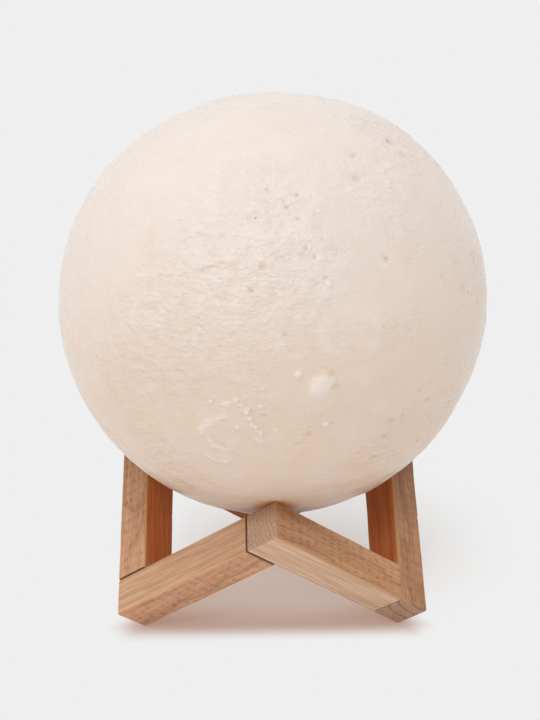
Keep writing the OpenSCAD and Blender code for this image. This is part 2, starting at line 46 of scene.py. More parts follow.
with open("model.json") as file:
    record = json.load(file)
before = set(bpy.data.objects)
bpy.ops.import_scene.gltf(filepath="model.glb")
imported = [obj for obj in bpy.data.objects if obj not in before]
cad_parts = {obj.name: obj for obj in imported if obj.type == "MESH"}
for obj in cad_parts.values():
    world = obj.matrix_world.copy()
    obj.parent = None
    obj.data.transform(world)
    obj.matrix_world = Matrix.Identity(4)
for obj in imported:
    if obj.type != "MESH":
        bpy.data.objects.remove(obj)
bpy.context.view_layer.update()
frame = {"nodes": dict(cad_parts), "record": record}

MM = 0.001

# The moon, as its solid is laid out
MOON_CENTRE = Vector((0, 0, 114.216)) * MM
MOON_R = 75 * MM
SKIN_T = 2 * MM
SEAT_LAT = -45.85
SEAT_R = 22.3 * MM
SEAT_DROP = 71.108 * MM
MOUTH_R = 20 * MM
COLLAR_H = 6 * MM
COLLAR_R = 22 * MM

# The stand: the cube whose edges the bars follow, and its height over the table
CUBE = 79 * MM
BAR_SIDE = 14 * MM
GLUE_LINE = 0.2 * MM
BAR_L = CUBE - BAR_SIDE - GLUE_LINE
TABLE_S = 38.0351 * MM
CUBE_TILT = math.atan(math.sqrt(2))
DOWEL_D = 6 * MM
DOWEL_L = 20 * MM

# Marks on the side of the skin that faces forward, in degrees of longitude and latitude and
# in millimetres. Strokes: height, width, points. A height below zero sinks into the skin.
STROKES = (
    (0.35, 0.65, (-13.4, -8.7), (-11.2, -8.2), (-10.2, -7.3)),
    (0.42, 0.7, (-10.2, -7.3), (-9, -9.5), (-7.4, -11.5), (-6.3, -14.3), (-4.1, -17)),
    (0.32, 0.6, (-7.4, -9.3), (-7.7, -11)),
    (0.32, 0.6, (-3.8, -10.4), (-2.5, -10.4), (-1.6, -11.6)),
    (0.25, 0.9, (-14.7, -12.8), (-13.1, -11.9)),
    (0.28, 0.8, (-5.7, -18.7), (-4.6, -19.3)),
    (0.28, 1.5, (-19.7, -17.5), (-18.3, -14.9), (-16.4, -14)),
    (0.22, 0.8, (-18.3, -19.2), (-16.7, -21.6), (-14.9, -22.7), (-12.1, -22.4)),
    (-0.15, 0.7, (-17.2, -18.6), (-15.6, -20.7), (-13.6, -21.5)),
    (0.22, 1.0, (-19.2, -25.4), (-17.2, -27), (-14.3, -27)),
    (0.1, 1.8, (17.2, 25.2), (12.7, 20.4), (9.4, 15.5), (5.6, 12.3)),
    (-0.17, 0.5, (-31.8, 20.9), (-27.3, 21.3), (-21.2, 23.2), (-16.8, 24.8), (-14, 25.6)),
    (-0.1, 1.6, (-38.5, 32), (-37.2, 28.4), (-34.8, 21.3), (-34, 17)),
    (0.28, 0.8, (28.4, 23), (29.6, 23), (31.6, 24.2)),
    (0.3, 0.9, (48, 48.5), (42.5, 47.4), (41.4, 44.3), (41.5, 42)),
    (-0.25, 0.9, (48.5, 18), (49.5, 16.6)),
    (-0.25, 0.9, (57, 13.5), (57.8, 11.5)),
)
# Dots: longitude, latitude, radius, height
DOTS = (
    (-16.7, -8.5, 0.9, 0.3), (-4.3, -8.9, 0.8, 0.35), (-10.2, -15.1, 1.1, 0.2),
    (-0.7, -15.6, 0.9, 0.25), (4.7, -0.6, 1.5, 0.45),
    (10.3, -3.7, 4.2, 0.55), (12.7, -0.9, 1.5, -0.22), (13.9, -4.2, 1.5, -0.25),
    (-3.8, -3.9, 0.9, 0.3), (8.5, -11.3, 0.8, 0.3), (11.9, -14.5, 1.0, 0.3),
    (13.8, -14.6, 0.7, -0.3), (4, 2.2, 0.5, 0.2), (1.4, 7.1, 0.7, 0.25), (1.6, 5.2, 0.7, 0.3),
    (0.4, 3.8, 0.5, 0.2), (1.2, 9.3, 0.9, -0.3), (-6.9, 19.5, 1.0, -0.35),
    (-4.1, 25.2, 1.1, -0.35), (11.9, 22, 0.9, -0.3), (12.7, 20.6, 0.8, 0.3),
    (6.6, 43.1, 0.9, -0.35), (2.1, 41.3, 1.1, -0.3), (2.8, 39.8, 0.8, -0.3),
    (5.6, 36.8, 0.9, -0.35), (-3.4, 44.7, 0.8, -0.25), (9.6, 27.4, 0.9, -0.3),
    (7.4, 29.2, 0.8, -0.25), (-37.9, 23.3, 1.0, 0.25), (30.2, 24.8, 1.2, -0.6),
    (61.1, 54.5, 1.5, -0.4), (60, 50.1, 1.5, -0.3), (33.7, 53.4, 1.0, -0.3),
    (29.5, 46.9, 1.6, -0.3), (33.8, 47.9, 1.1, -0.25), (38.7, -9.6, 0.9, -0.3),
    (42.7, -13.3, 1.0, -0.3), (38.3, -13, 0.8, -0.25), (48.6, -5.2, 0.8, -0.25),
    (55.2, -18.4, 1.2, -0.3), (46.4, -19.4, 1.0, -0.3), (34.4, -16, 0.9, -0.3),
    (31.2, -16.7, 1.1, -0.35), (49.3, -23.5, 1.0, -0.3), (30.3, -21.7, 1.0, -0.3),
    (46, -27.8, 1.2, -0.3), (32.9, -26.2, 1.0, -0.25), (28.8, -28.7, 1.1, -0.25),
    (8.1, -17.8, 0.9, -0.25), (53.3, -12, 1.0, -0.3),
)
# Rings: longitude, latitude, ring radius, width, height
RINGS = ((-34, 12, 6, 1.8, 0.1), (18, 8, 8, 2, 0.08), (-5, 44, 17, 3, 0.1))
# Where the skin has bulged or sunk as it cooled: direction, inner and outer reach in degrees,
# and height as a share of the setting
SAGS = ((98, 26, 8, 58, 1.0), (-140, 71, 5, 42, -0.75), (-95, -35, 5, 40, -0.35))


def linear(hex_colour):
    """An sRGB hex colour as linear values."""
    values = [int(hex_colour[i : i + 2], 16) / 255 for i in (1, 3, 5)]
    return [v / 12.92 if v <= 0.04045 else ((v + 0.055) / 1.055) ** 2.4 for v in values]


def colour(name, text, default):
    return FloatVectorProperty(
        name=name, description=text, subtype="COLOR", size=3, min=0, max=1, default=linear(default)
    )


def length(name, text, default, low, high):
    return FloatProperty(
        name=name, description=text, subtype="DISTANCE", unit="LENGTH",
        default=default * MM, min=low * MM, max=high * MM, precision=5,
    )


# Settings that many nodes share
SMOOTH = {"interpolation_type": "SMOOTHSTEP"}
MIXED = {"data_type": "RGBA"}
TINTED = {"data_type": "RGBA", "blend_type": "MULTIPLY"}


def add(tree, kind, settings=None, sockets=None):
    """Add a node, set its properties, and fill or link its sockets. A string sets just the
    node's operation, and a tuple or a list fills its sockets from the first one on."""
    node = tree.nodes.new(kind)
    if isinstance(settings, str):
        settings = {"operation": settings}
    for name, value in (settings or {}).items():
        setattr(node, name, value)
    if isinstance(sockets, (tuple, list)):
        sockets = dict(enumerate(sockets))
    for key, value in (sockets or {}).items():
        if isinstance(value, bpy.types.Node):
            value = value.outputs[0]
        if isinstance(value, bpy.types.NodeSocket):
            tree.links.new(value, node.inputs[key])
        else:
            node.inputs[key].default_value = value
    return node


def rgba(values):
    return (*values, 1.0)


class MoonSettings(PropertyGroup):
    crater_places: IntProperty(
        name="Crater places", description="Places on the spiral that the craters are set out on",
        default=64, min=20, max=90,
    )
    small_crater: length("Smallest crater", "Rim radius of the smallest crater", 2.2, 1.6, 3)
    large_crater: length("Largest crater", "Rim radius of the largest crater", 7.4, 5, 9)
    crater_slope: FloatProperty(
        name="Crater slope", description="Depth of a crater for each unit of its rim radius",
        default=0.13, min=0.05, max=0.14, subtype="FACTOR",
    )
    swell: length("Swell", "Height of the broad, slow waves in the skin", 0.3, 0, 0.6)
    lumps: length("Lumps", "Height of the soft lumps between the craters", 0.38, 0, 0.8)
    wrinkles: length("Wrinkles", "Height of the wrinkles where the skin is crinkled", 0.52, 0, 1)
    sag: length("Sag", "How far the skin's shape strays from a ball", 1.4, 0, 2)
    marks: FloatProperty(
        name="Marks", description="Height of the moulded marks, for each unit they are listed with",
        default=2.0, min=0, max=2.5, subtype="FACTOR",
    )
    skin: colour("Skin", "Colour of the moulded skin on top", "#efe3da")
    skin_warm: colour("Warm skin", "Colour of the skin low down and in its warmer patches", "#e9d0ba")


class StandSettings(PropertyGroup):
    arris: length("Arris", "Radius that eases every edge of a bar", 1.0, 0.6, 1.6)
    wood: colour("Beech", "Colour of the planed beech", "#e4b995")
    wood_late: colour("Dark bands", "Colour of the darker bands along the grain", "#c8966e")
    fleck: colour("Flecks", "Colour of the ray flecks", "#75492f")
    end_grain: colour("End grain", "Colour of the sawn ends", "#c19c82")


class DowelSettings(PropertyGroup):
    flutes: IntProperty(
        name="Flutes", description="Grooves along each dowel that let the glue out",
        default=16, min=8, max=30,
    )
    flute: length("Flute depth", "Depth of a groove", 0.22, 0.05, 0.4)
    birch: colour("Dowel wood", "Colour of the turned dowels", "#dcc3a0")


class BaseSettings(PropertyGroup):
    cap: colour("Base", "Colour of the moulded base", "#f3f0ea")
    button: colour("Button", "Colour of the power button", "#e9e5dd")
    break_edge: length("Edge", "Radius that the mould leaves on an outer edge", 0.18, 0.05, 0.3)


class ScrewSettings(PropertyGroup):
    pitch: length("Thread pitch", "Rise of the thread in one turn", 0.8, 0.4, 1.2)
    zinc: colour("Zinc", "Colour of the zinc plating", "#b9bcc0")


class BoardSettings(PropertyGroup):
    mask: colour("Solder mask", "Colour of the lacquer on the circuit board", "#1c5a34")
    copper: colour("Traces", "Colour of the copper traces under the lacquer", "#3f8a4c")


class LampSettings(PropertyGroup):
    sleeve: colour("Battery sleeve", "Colour of the battery's shrink sleeve", "#2d63a8")
    chips: IntProperty(
        name="Light chips", description="Light chips in the ring", default=8, min=3, max=12,
    )
    chip_ring: length("Chip ring", "Radius of the ring of light chips", 9, 7, 11)
    chip_size: length("Chip size", "Side of a light chip", 3.5, 2.5, 4)
    chip_height: length("Chip height", "Height of a light chip", 1.4, 0.8, 1.8)


class StageSettings(PropertyGroup):
    backdrop: colour("Backdrop", "Colour of the floor and of what lies behind the lamp", "#efefef")
    fill: FloatProperty(
        name="Fill light", description="Strength of the even light from all round",
        default=0.78, min=0, max=2,
    )
    softbox: FloatProperty(
        name="Softbox", description="Strength of the large light in front, to the upper left",
        default=0.42, min=0, max=6,
    )
    top_light: FloatProperty(
        name="Top light", description="Strength of the very soft light above, to the left",
        default=0.2, min=0, max=6,
    )
    shadow_reach: length("Shadow reach", "How far past its feet the floor shows its shadow", 13, 5, 60)
    shade: colour("Shade", "Colour that the skin throws on the floor under the lamp", "#dac1b2")
    warm_shade: colour("Warm shade", "Colour that the wood throws along its front edge", "#c39a84")


# Materials


def new_material(name):
    """A material with an empty tree."""
    material = bpy.data.materials.new(name)
    material.use_nodes = True
    material.node_tree.nodes.clear()
    return material, material.node_tree


def close_material(tree, colour_from, shader_sockets):
    """End a tree in a Principled shader and the output."""
    sockets = {"Base Color": colour_from, **shader_sockets}
    shader = add(tree, "ShaderNodeBsdfPrincipled", None, sockets)
    add(tree, "ShaderNodeOutputMaterial", None, {"Surface": shader})


def vinyl_skin(settings):
    """Rotationally moulded soft vinyl: a satin skin that lets a little light in, so its
    shadows stay warm, with fine crinkles that catch small glints. Painted light in its colour
    makes it paler on top and warmer low down, orange by the wood, and paler on what stands
    proud and darker in the hollows."""
    material, tree = new_material("Soft vinyl, moulded satin skin")
    place = add(tree, "ShaderNodeTexCoord").outputs["Object"]
    patches = add(
        tree, "ShaderNodeTexNoise", None,
        {"Vector": place, "Scale": 1 / (28 * MM), "Detail": 3.0, "Roughness": 0.6},
    )
    # Painted light and shade: the skin is paler on top and warmer low down, and the patches warm it at
    # random
    height = add(tree, "ShaderNodeSeparateXYZ", None, {0: place}).outputs[2]
    low = add(tree, "ShaderNodeMapRange", SMOOTH, (height, 80 * MM, 175 * MM, 0.8, 0.1))
    low = add(tree, "ShaderNodeMath", "SUBTRACT", (low, 0.25))
    patches_and_painted_light = add(
        tree, "ShaderNodeMath", {"operation": "MULTIPLY_ADD", "use_clamp": True}, (patches, 0.5, low)
    )
    skin = add(
        tree, "ShaderNodeMix", MIXED, {0: patches_and_painted_light, 6: rgba(settings.skin), 7: rgba(settings.skin_warm)}
    ).outputs[2]
    # A few dark specks under 1 mm across
    specks = add(
        tree, "ShaderNodeTexVoronoi", {"feature": "F1"}, {"Vector": place, "Scale": 1 / (16 * MM)}
    )
    speck = add(tree, "ShaderNodeMapRange", SMOOTH, (specks, 0.014, 0.024, 0.75, 0.0))
    skin = add(
        tree, "ShaderNodeMix", MIXED, {0: speck, 6: skin, 7: rgba(linear("#8d6f58"))}
    ).outputs[2]
    # Painted reflection and shade: the skin turns orange close to where it rests on the wood
    nearest = 1.0
    for k in range(3):
        seat = MOON_CENTRE + unit_at(120 * k, SEAT_LAT - 4.5) * MOON_R
        away = add(tree, "ShaderNodeVectorMath", "DISTANCE", (place, seat))
        nearest = add(tree, "ShaderNodeMath", "MINIMUM", (nearest, away.outputs["Value"]))
    for reach, share, tint in ((14 * MM, 0.5, "#ecc698"), (9 * MM, 0.85, "#e99a45")):
        painted_wood_glow = add(tree, "ShaderNodeMapRange", SMOOTH, (nearest, 4.5 * MM, reach, share, 0.0))
        skin = add(
            tree, "ShaderNodeMix", MIXED, {0: painted_wood_glow, 6: skin, 7: rgba(linear(tint))}
        ).outputs[2]
    # Crinkles lie level, about 2.4 mm long and 1.4 mm apart, and are strongest where the skin
    # is wrinkled
    flat = add(tree, "ShaderNodeMapping", None, {"Vector": place, "Scale": (1.0, 1.0, 1.7)})
    crinkle = add(
        tree, "ShaderNodeTexNoise", None,
        {"Vector": flat, "Scale": 1 / (2.4 * MM), "Detail": 3.0, "Roughness": 0.5, "Distortion": 0.3},
    )
    peel = add(
        tree, "ShaderNodeTexNoise", None,
        {"Vector": place, "Scale": 1 / (1.3 * MM), "Detail": 1.0, "Roughness": 0.5},
    )
    where = add(tree, "ShaderNodeAttribute", {"attribute_name": "crinkled"}).outputs["Fac"]
    raised = add(tree, "ShaderNodeAttribute", {"attribute_name": "raised"}).outputs["Fac"]
    # What stands proud is paler, a painted highlight, and the hollows darker and warmer, painted shade
    fold = add(tree, "ShaderNodeMath", "SUBTRACT", (crinkle, 0.5))
    fold = add(tree, "ShaderNodeMath", "MULTIPLY", (fold, where))
    proud = add(tree, "ShaderNodeMath", "MULTIPLY_ADD", (fold, 1.4, raised))
    painted_highlight = add(tree, "ShaderNodeMapRange", None, (proud, 0.1, 1.4, 0.0, 0.48))
    skin = add(tree, "ShaderNodeMix", MIXED, {0: painted_highlight, 6: skin, 7: rgba(linear("#f8f0ea"))}).outputs[2]
    painted_hollow_shade = add(tree, "ShaderNodeMapRange", None, (proud, -0.1, -1.2, 0.0, 0.3))
    skin = add(
        tree, "ShaderNodeMix", MIXED, {0: painted_hollow_shade, 6: skin, 7: rgba(linear("#dcbb9c"))}
    ).outputs[2]
    level = add(tree, "ShaderNodeMath", "MULTIPLY_ADD", (where, 0.9, 0.1))
    crinkle_h = add(tree, "ShaderNodeMath", "MULTIPLY", (crinkle, level))
    height = add(tree, "ShaderNodeMath", "MULTIPLY_ADD", (peel, 0.25, crinkle_h))
    bump = add(
        tree, "ShaderNodeBump", None, {"Strength": 1.0, "Distance": 0.76 * MM, "Height": height}
    )
    rough = add(tree, "ShaderNodeMapRange", None, (patches, 0.3, 0.7, 0.17, 0.26))
    close_material(
        tree, skin,
        {"Roughness": rough, "Normal": bump, "IOR": 1.5, "Specular IOR Level": 0.5,
         "Subsurface Weight": 0.1, "Subsurface Radius": (1.0, 0.55, 0.32),
         "Subsurface Scale": 2 * MM},
    )
    return material


def beech(name, settings, place, seed, growth, sawn_end=False):
    """Steamed beech, planed along the grain: a pinkish tan in straight bands of growth, with
    short dark ray flecks on the two faces that cut across the rays. Its inner faces are painted
    darker and redder as shade, and its faces carry painted light and shade. A sawn end is greyer,
    with fine rings and rays."""
    radial, ring_mm, far, painted_high_shade, *face_tones_and_painted_light = growth
    material, tree = new_material(name)
    here = add(tree, "ShaderNodeTexCoord").outputs["Object"]
    normal = add(tree, "ShaderNodeNewGeometry").outputs["Normal"]
    local = add(
        tree, "ShaderNodeMapping", {"vector_type": "TEXTURE"},
        {"Vector": here, "Location": place.to_translation(), "Rotation": place.to_euler()},
    )
    in_mm = add(tree, "ShaderNodeVectorMath", "SCALE", {0: local, "Scale": 1000.0})
    draw = np.random.default_rng(seed)
    off = draw.uniform(-6, 6)
    across = (off, far) if radial == "z" else (far, off)
    shifted = add(tree, "ShaderNodeVectorMath", "ADD", (in_mm, (draw.uniform(100, 900), *across)))
    # Noises drawn out along the grain: scale along and across it, detail, roughness
    drawn_out = []
    for along, across, detail, roughness in (
        (0.02, 0.035, 2.0, 0.6), (0.1, 3.2, 4.0, 0.7), (0.03, 0.42, 3.0, 0.6)
    ):
        scale = (along, across, across)
        at = add(tree, "ShaderNodeMapping", None, {"Vector": shifted, "Scale": scale})
        drawn_out.append(add(
            tree, "ShaderNodeTexNoise", None,
            {"Vector": at, "Scale": 1.0, "Detail": detail, "Roughness": roughness},
        ))
    sway, fibre, streak = drawn_out
    # Growth rings round the heart of the tree, bent by slow waves along the grain
    parts = add(tree, "ShaderNodeSeparateXYZ", None, {0: shifted})
    flat = add(tree, "ShaderNodeCombineXYZ", None, {1: parts.outputs[1], 2: parts.outputs[2]})
    radius = add(tree, "ShaderNodeVectorMath", "LENGTH", {0: flat})
    bent = add(tree, "ShaderNodeMath", "MULTIPLY_ADD", (sway, 3.2 * ring_mm, radius.outputs["Value"]))
    year = add(tree, "ShaderNodeMath", "DIVIDE", (bent, ring_mm))
    year = add(tree, "ShaderNodeMath", "FRACT", {0: year})
    late = add(tree, "ShaderNodeMapRange", SMOOTH, (year, 0.72, 0.97))
    if sawn_end:
        late = add(tree, "ShaderNodeMath", "MULTIPLY", (late, min(0.75, 0.3 + 0.1 * ring_mm)))
        wood = add(
            tree, "ShaderNodeMix", MIXED,
            {0: late, 6: rgba(settings.end_grain), 7: rgba(linear("#7a5645"))},
        ).outputs[2]
        turned = (3.6, 0.25) if radial == "z" else (0.25, 3.6)
        rays_at = add(tree, "ShaderNodeMapping", None, {"Vector": shifted, "Scale": (0.5, *turned)})
        rays = add(tree, "ShaderNodeTexNoise", None, {"Vector": rays_at, "Scale": 1.0, "Detail": 2.0})
        rays = add(tree, "ShaderNodeMapRange", SMOOTH, (rays, 0.45, 0.7, 0.0, 0.6))
        wood = add(
            tree, "ShaderNodeMix", MIXED, {0: rays, 6: wood, 7: rgba(linear("#c9a48a"))}
        ).outputs[2]
        grain = add(tree, "ShaderNodeTexNoise", None, {"Vector": shifted, "Scale": 2.0, "Detail": 3.0})
        pores = add(tree, "ShaderNodeMapRange", SMOOTH, (grain, 0.4, 0.7, 0.0, 0.6))
        wood = add(
            tree, "ShaderNodeMix", MIXED, {0: pores, 6: wood, 7: rgba(linear("#86604f"))}
        ).outputs[2]
        height = add(tree, "ShaderNodeMath", "MULTIPLY", (grain, -1.0))
        rough = 0.72
    else:
        bands = add(tree, "ShaderNodeMapRange", SMOOTH, (streak, 0.32, 0.68, 0.0, 0.75))
        wood = add(
            tree, "ShaderNodeMix", MIXED,
            {0: bands, 6: rgba(settings.wood), 7: rgba(settings.wood_late)},
        ).outputs[2]
        late = add(tree, "ShaderNodeMath", "MULTIPLY", (late, 0.42))
        wood = add(
            tree, "ShaderNodeMix", MIXED, {0: late, 6: wood, 7: rgba(linear("#a87650"))}
        ).outputs[2]
        fibres = add(tree, "ShaderNodeMapRange", SMOOTH, (fibre, 0.4, 0.75, 0.0, 0.5))
        wood = add(
            tree, "ShaderNodeMix", MIXED, {0: fibres, 6: wood, 7: rgba(linear("#ac7b58"))}
        ).outputs[2]
        # Rays are sheets towards the heart, so their flecks show where a face lies across them
        axis = place.to_3x3() @ Vector((0, 0, 1) if radial == "z" else (0, 1, 0))
        facing = add(tree, "ShaderNodeVectorMath", "DOT_PRODUCT", (normal, axis))
        facing = add(tree, "ShaderNodeMath", "ABSOLUTE", {0: facing.outputs["Value"]})
        crossing = add(tree, "ShaderNodeMapRange", SMOOTH, (facing, 0.5, 0.85))
        # Two rays in five show, as thin dashes up to 3 mm long
        sheet = parts.outputs[1 if radial == "z" else 2]
        drift = add(tree, "ShaderNodeMath", "MULTIPLY_ADD", (sway, 6.0, sheet))
        along = add(tree, "ShaderNodeMath", "MULTIPLY", (parts.outputs[0], 0.25))
        drift = add(tree, "ShaderNodeMath", "MULTIPLY", (drift, 2.6))
        ray_at = add(tree, "ShaderNodeCombineXYZ", None, (along, drift))
        rays = add(
            tree, "ShaderNodeTexVoronoi", {"voronoi_dimensions": "2D"},
            {"Vector": ray_at, "Scale": 1.0},
        )
        picked = add(tree, "ShaderNodeSeparateColor", None, {0: rays.outputs["Color"]})
        shown = add(tree, "ShaderNodeMapRange", SMOOTH, (picked, 0.15, 0.6, 1.0, 0.0))
        dash = add(tree, "ShaderNodeMapRange", SMOOTH, (rays.outputs["Distance"], 0.1, 0.37, 1.0, 0.0))
        fleck = add(tree, "ShaderNodeMath", "MULTIPLY", (dash, shown))
        fleck = add(tree, "ShaderNodeMath", "MULTIPLY", (fleck, crossing))
        fleck_mix = add(tree, "ShaderNodeMath", "MULTIPLY", (fleck, 0.85))
        wood = add(
            tree, "ShaderNodeMix", MIXED, {0: fleck_mix, 6: wood, 7: rgba(settings.fleck)}
        ).outputs[2]
        # The faces that look in towards the middle of the stand are painted darker and redder, as
        # shade
        inward = add(tree, "ShaderNodeVectorMath", "MULTIPLY", (here, (-1, -1, 0)))
        inward = add(tree, "ShaderNodeVectorMath", "NORMALIZE", {0: inward})
        inner = add(tree, "ShaderNodeVectorMath", "DOT_PRODUCT", (normal, inward))
        painted_inner_shade = add(tree, "ShaderNodeMapRange", SMOOTH, (inner.outputs["Value"], 0.15, 0.45))
        wood = add(
            tree, "ShaderNodeMix", TINTED, {0: painted_inner_shade, 6: wood, 7: (0.83, 0.42, 0.2, 1)}
        ).outputs[2]
        # Painted light and shade: each pair of faces gets its own level with the bar's own tint, and
        # the high end of faces that don't look down is darker, painted shade under the moon
        own_up = place.to_3x3() @ Vector((0, 0, 1))
        flank = add(tree, "ShaderNodeVectorMath", "DOT_PRODUCT", (normal, own_up))
        flank = add(tree, "ShaderNodeMath", "ABSOLUTE", {0: flank.outputs["Value"]})
        flank = add(tree, "ShaderNodeMapRange", SMOOTH, (flank, 0.3, 0.7))
        face_tone_and_painted_light = add(
            tree, "ShaderNodeMix", MIXED, {0: flank, 6: rgba(face_tones_and_painted_light[0]), 7: rgba(face_tones_and_painted_light[1])}
        ).outputs[2]
        wood = add(tree, "ShaderNodeMix", TINTED, {0: 1.0, 6: wood, 7: face_tone_and_painted_light}).outputs[2]
        high = add(tree, "ShaderNodeSeparateXYZ", None, {0: here}).outputs[2]
        high = add(tree, "ShaderNodeMapRange", SMOOTH, (high, 18 * MM, 60 * MM, 0.0, painted_high_shade))
        facing_up = add(tree, "ShaderNodeSeparateXYZ", None, {0: normal}).outputs[2]
        facing_up = add(tree, "ShaderNodeMapRange", SMOOTH, (facing_up, -0.5, -0.1))
        outer = add(tree, "ShaderNodeMath", "MULTIPLY_ADD", (painted_inner_shade, -0.7, 1.0))
        dark = add(tree, "ShaderNodeMath", "MULTIPLY", (high, facing_up))
        dark = add(tree, "ShaderNodeMath", "MULTIPLY", (dark, outer))
        wood = add(
            tree, "ShaderNodeMix", TINTED, {0: dark, 6: wood, 7: (0.55, 0.48, 0.42, 1)}
        ).outputs[2]
        height = add(tree, "ShaderNodeMath", "MULTIPLY_ADD", (fleck, -0.8, fibre))
        rough = 0.55
    # Close to the moon the wood is painted darker, as shade, and more on a sawn end
    from_moon = add(tree, "ShaderNodeVectorMath", "DISTANCE", (here, MOON_CENTRE))
    painted_moon_shade = add(
        tree, "ShaderNodeMapRange", SMOOTH,
        (from_moon.outputs["Value"], MOON_R, MOON_R + 9 * MM, 0.95, 0.0),
    )
    moon_shade_colour = (0.6, 0.46, 0.36, 1) if sawn_end else (0.68, 0.58, 0.5, 1)
    wood = add(tree, "ShaderNodeMix", TINTED, {0: painted_moon_shade, 6: wood, 7: moon_shade_colour}).outputs[2]
    # The arrises are a little burnished
    side = add(tree, "ShaderNodeSeparateXYZ", None, {0: in_mm})
    half = BAR_SIDE / MM / 2
    from_middle = [add(tree, "ShaderNodeMath", "SUBTRACT", (side.outputs[i], half)) for i in (1, 2)]
    from_middle = [add(tree, "ShaderNodeMath", "ABSOLUTE", {0: away}) for away in from_middle]
    arris = add(tree, "ShaderNodeMath", "MINIMUM", from_middle)
    arris = add(tree, "ShaderNodeMapRange", SMOOTH, (arris, half - 1.3, half - 0.3, 0.0, 0.38))
    wood = add(
        tree, "ShaderNodeMix", MIXED, {0: arris, 6: wood, 7: rgba(linear("#d39c64"))}
    ).outputs[2]
    # Glue has stained the last of the wood at the joint
    glued = add(
        tree, "ShaderNodeMapRange", SMOOTH,
        (side.outputs[0], BAR_L / MM - 0.3, BAR_L / MM - 0.05, 0.0, 0.55),
    )
    wood = add(
        tree, "ShaderNodeMix", MIXED, {0: glued, 6: wood, 7: rgba(linear("#522b1a"))}
    ).outputs[2]
    bump = add(
        tree, "ShaderNodeBump", None, {"Strength": 0.6, "Distance": 0.08 * MM, "Height": height}
    )
    close_material(
        tree, wood, {"Roughness": rough, "Normal": bump, "IOR": 1.5, "Specular IOR Level": 0.22}
    )
    return material


def moulded(name, base, roughness, grain_mm, grain_deep_mm, **extra):
    """A moulded or cast surface: one colour with slight clouding, and the fine texture of
    its mould or of its own grain in the bump."""
    material, tree = new_material(name)
    place = add(tree, "ShaderNodeTexCoord").outputs["Object"]
    cloud = add(
        tree, "ShaderNodeTexNoise", None, {"Vector": place, "Scale": 1 / (6 * MM), "Detail": 2.0}
    )
    grain = add(
        tree, "ShaderNodeTexNoise", None,
        {"Vector": place, "Scale": 1 / (grain_mm * MM), "Detail": 2.0, "Roughness": 0.6},
    )
    darker = [v * 0.86 for v in base]
    shade = add(tree, "ShaderNodeMix", MIXED, {0: cloud, 6: rgba(base), 7: rgba(darker)}).outputs[2]
    bump = add(
        tree, "ShaderNodeBump", None,
        {"Strength": 0.7, "Distance": grain_deep_mm * MM, "Height": grain},
    )
    rough = add(
        tree, "ShaderNodeMapRange", None, (grain, 0.3, 0.7, roughness - 0.05, roughness + 0.05)
    )
    close_material(tree, shade, {"Roughness": rough, "Normal": bump, **extra})
    return material


def plated(name, base, roughness, brushed_mm):
    """Plated metal: its colour drifts a little, and fine lines from drawing or tumbling
    spread its highlights."""
    material, tree = new_material(name)
    place = add(tree, "ShaderNodeTexCoord").outputs["Object"]
    cloud = add(
        tree, "ShaderNodeTexNoise", None, {"Vector": place, "Scale": 1 / (3 * MM), "Detail": 3.0}
    )
    shade_of = add(
        tree, "ShaderNodeMix", MIXED, {0: cloud, 6: rgba(base), 7: rgba([v * 0.72 for v in base])}
    ).outputs[2]
    drawn = add(tree, "ShaderNodeMapping", None, {"Vector": place, "Scale": (1.0, 1.0, 0.08)})
    lines = add(
        tree, "ShaderNodeTexNoise", None,
        {"Vector": drawn, "Scale": 1 / (brushed_mm * MM), "Detail": 3.0, "Roughness": 0.7},
    )
    bump = add(tree, "ShaderNodeBump", None, {"Strength": 0.5, "Distance": 0.01 * MM, "Height": lines})
    rough = add(
        tree, "ShaderNodeMapRange", None, (cloud, 0.3, 0.7, roughness - 0.08, roughness + 0.08)
    )
    close_material(tree, shade_of, {"Roughness": rough, "Normal": bump, "Metallic": 1.0})
    return material


def solder_mask(settings):
    """A lacquered circuit board: glossy green, with the copper traces raised and paler
    under the lacquer and rings of tin round the holes."""
    material, tree = new_material("Green solder mask over copper")
    place = add(tree, "ShaderNodeTexCoord").outputs["Object"]
    tracks = add(
        tree, "ShaderNodeTexBrick", {"offset": 0.37, "squash": 1.8, "squash_frequency": 3},
        {
            "Vector": place, "Scale": 1 / (1 * MM), "Mortar Size": 0.16, "Mortar Smooth": 0.1,
            "Brick Width": 2.6, "Row Height": 1.3,
        },
    )
    lacquer = add(
        tree, "ShaderNodeMix", MIXED,
        {0: tracks.outputs["Fac"], 6: rgba(settings.mask), 7: rgba(settings.copper)},
    ).outputs[2]
    hole = add(
        tree, "ShaderNodeTexVoronoi", {"feature": "F1"}, {"Vector": place, "Scale": 1 / (3.4 * MM)}
    )
    pad = add(tree, "ShaderNodeMapRange", None, (hole, 0.1, 0.12, 1.0, 0.0))
    lacquer = add(
        tree, "ShaderNodeMix", MIXED, {0: pad, 6: lacquer, 7: rgba(linear("#c9c6bd"))}
    ).outputs[2]
    bump = add(
        tree, "ShaderNodeBump", None,
        {"Strength": 0.6, "Distance": 0.035 * MM, "Height": tracks.outputs["Fac"]},
    )
    close_material(tree, lacquer, {"Roughness": 0.28, "Normal": bump})
    return material


def sintered(name, base, fleck_colour, roughness):
    """Pressed and fired powder: a dense, dull surface with fine mixed specks."""
    material, tree = new_material(name)
    place = add(tree, "ShaderNodeTexCoord").outputs["Object"]
    grains = add(
        tree, "ShaderNodeTexVoronoi", {"feature": "F1"}, {"Vector": place, "Scale": 1 / (0.25 * MM)}
    )
    shade_of = add(
        tree, "ShaderNodeMix", MIXED,
        {0: grains.outputs["Color"], 6: rgba(base), 7: rgba(fleck_colour)},
    ).outputs[2]
    bump = add(
        tree, "ShaderNodeBump", None,
        {"Strength": 0.6, "Distance": 0.02 * MM, "Height": grains.outputs["Distance"]},
    )
    close_material(tree, shade_of, {"Roughness": roughness, "Normal": bump})
    return material


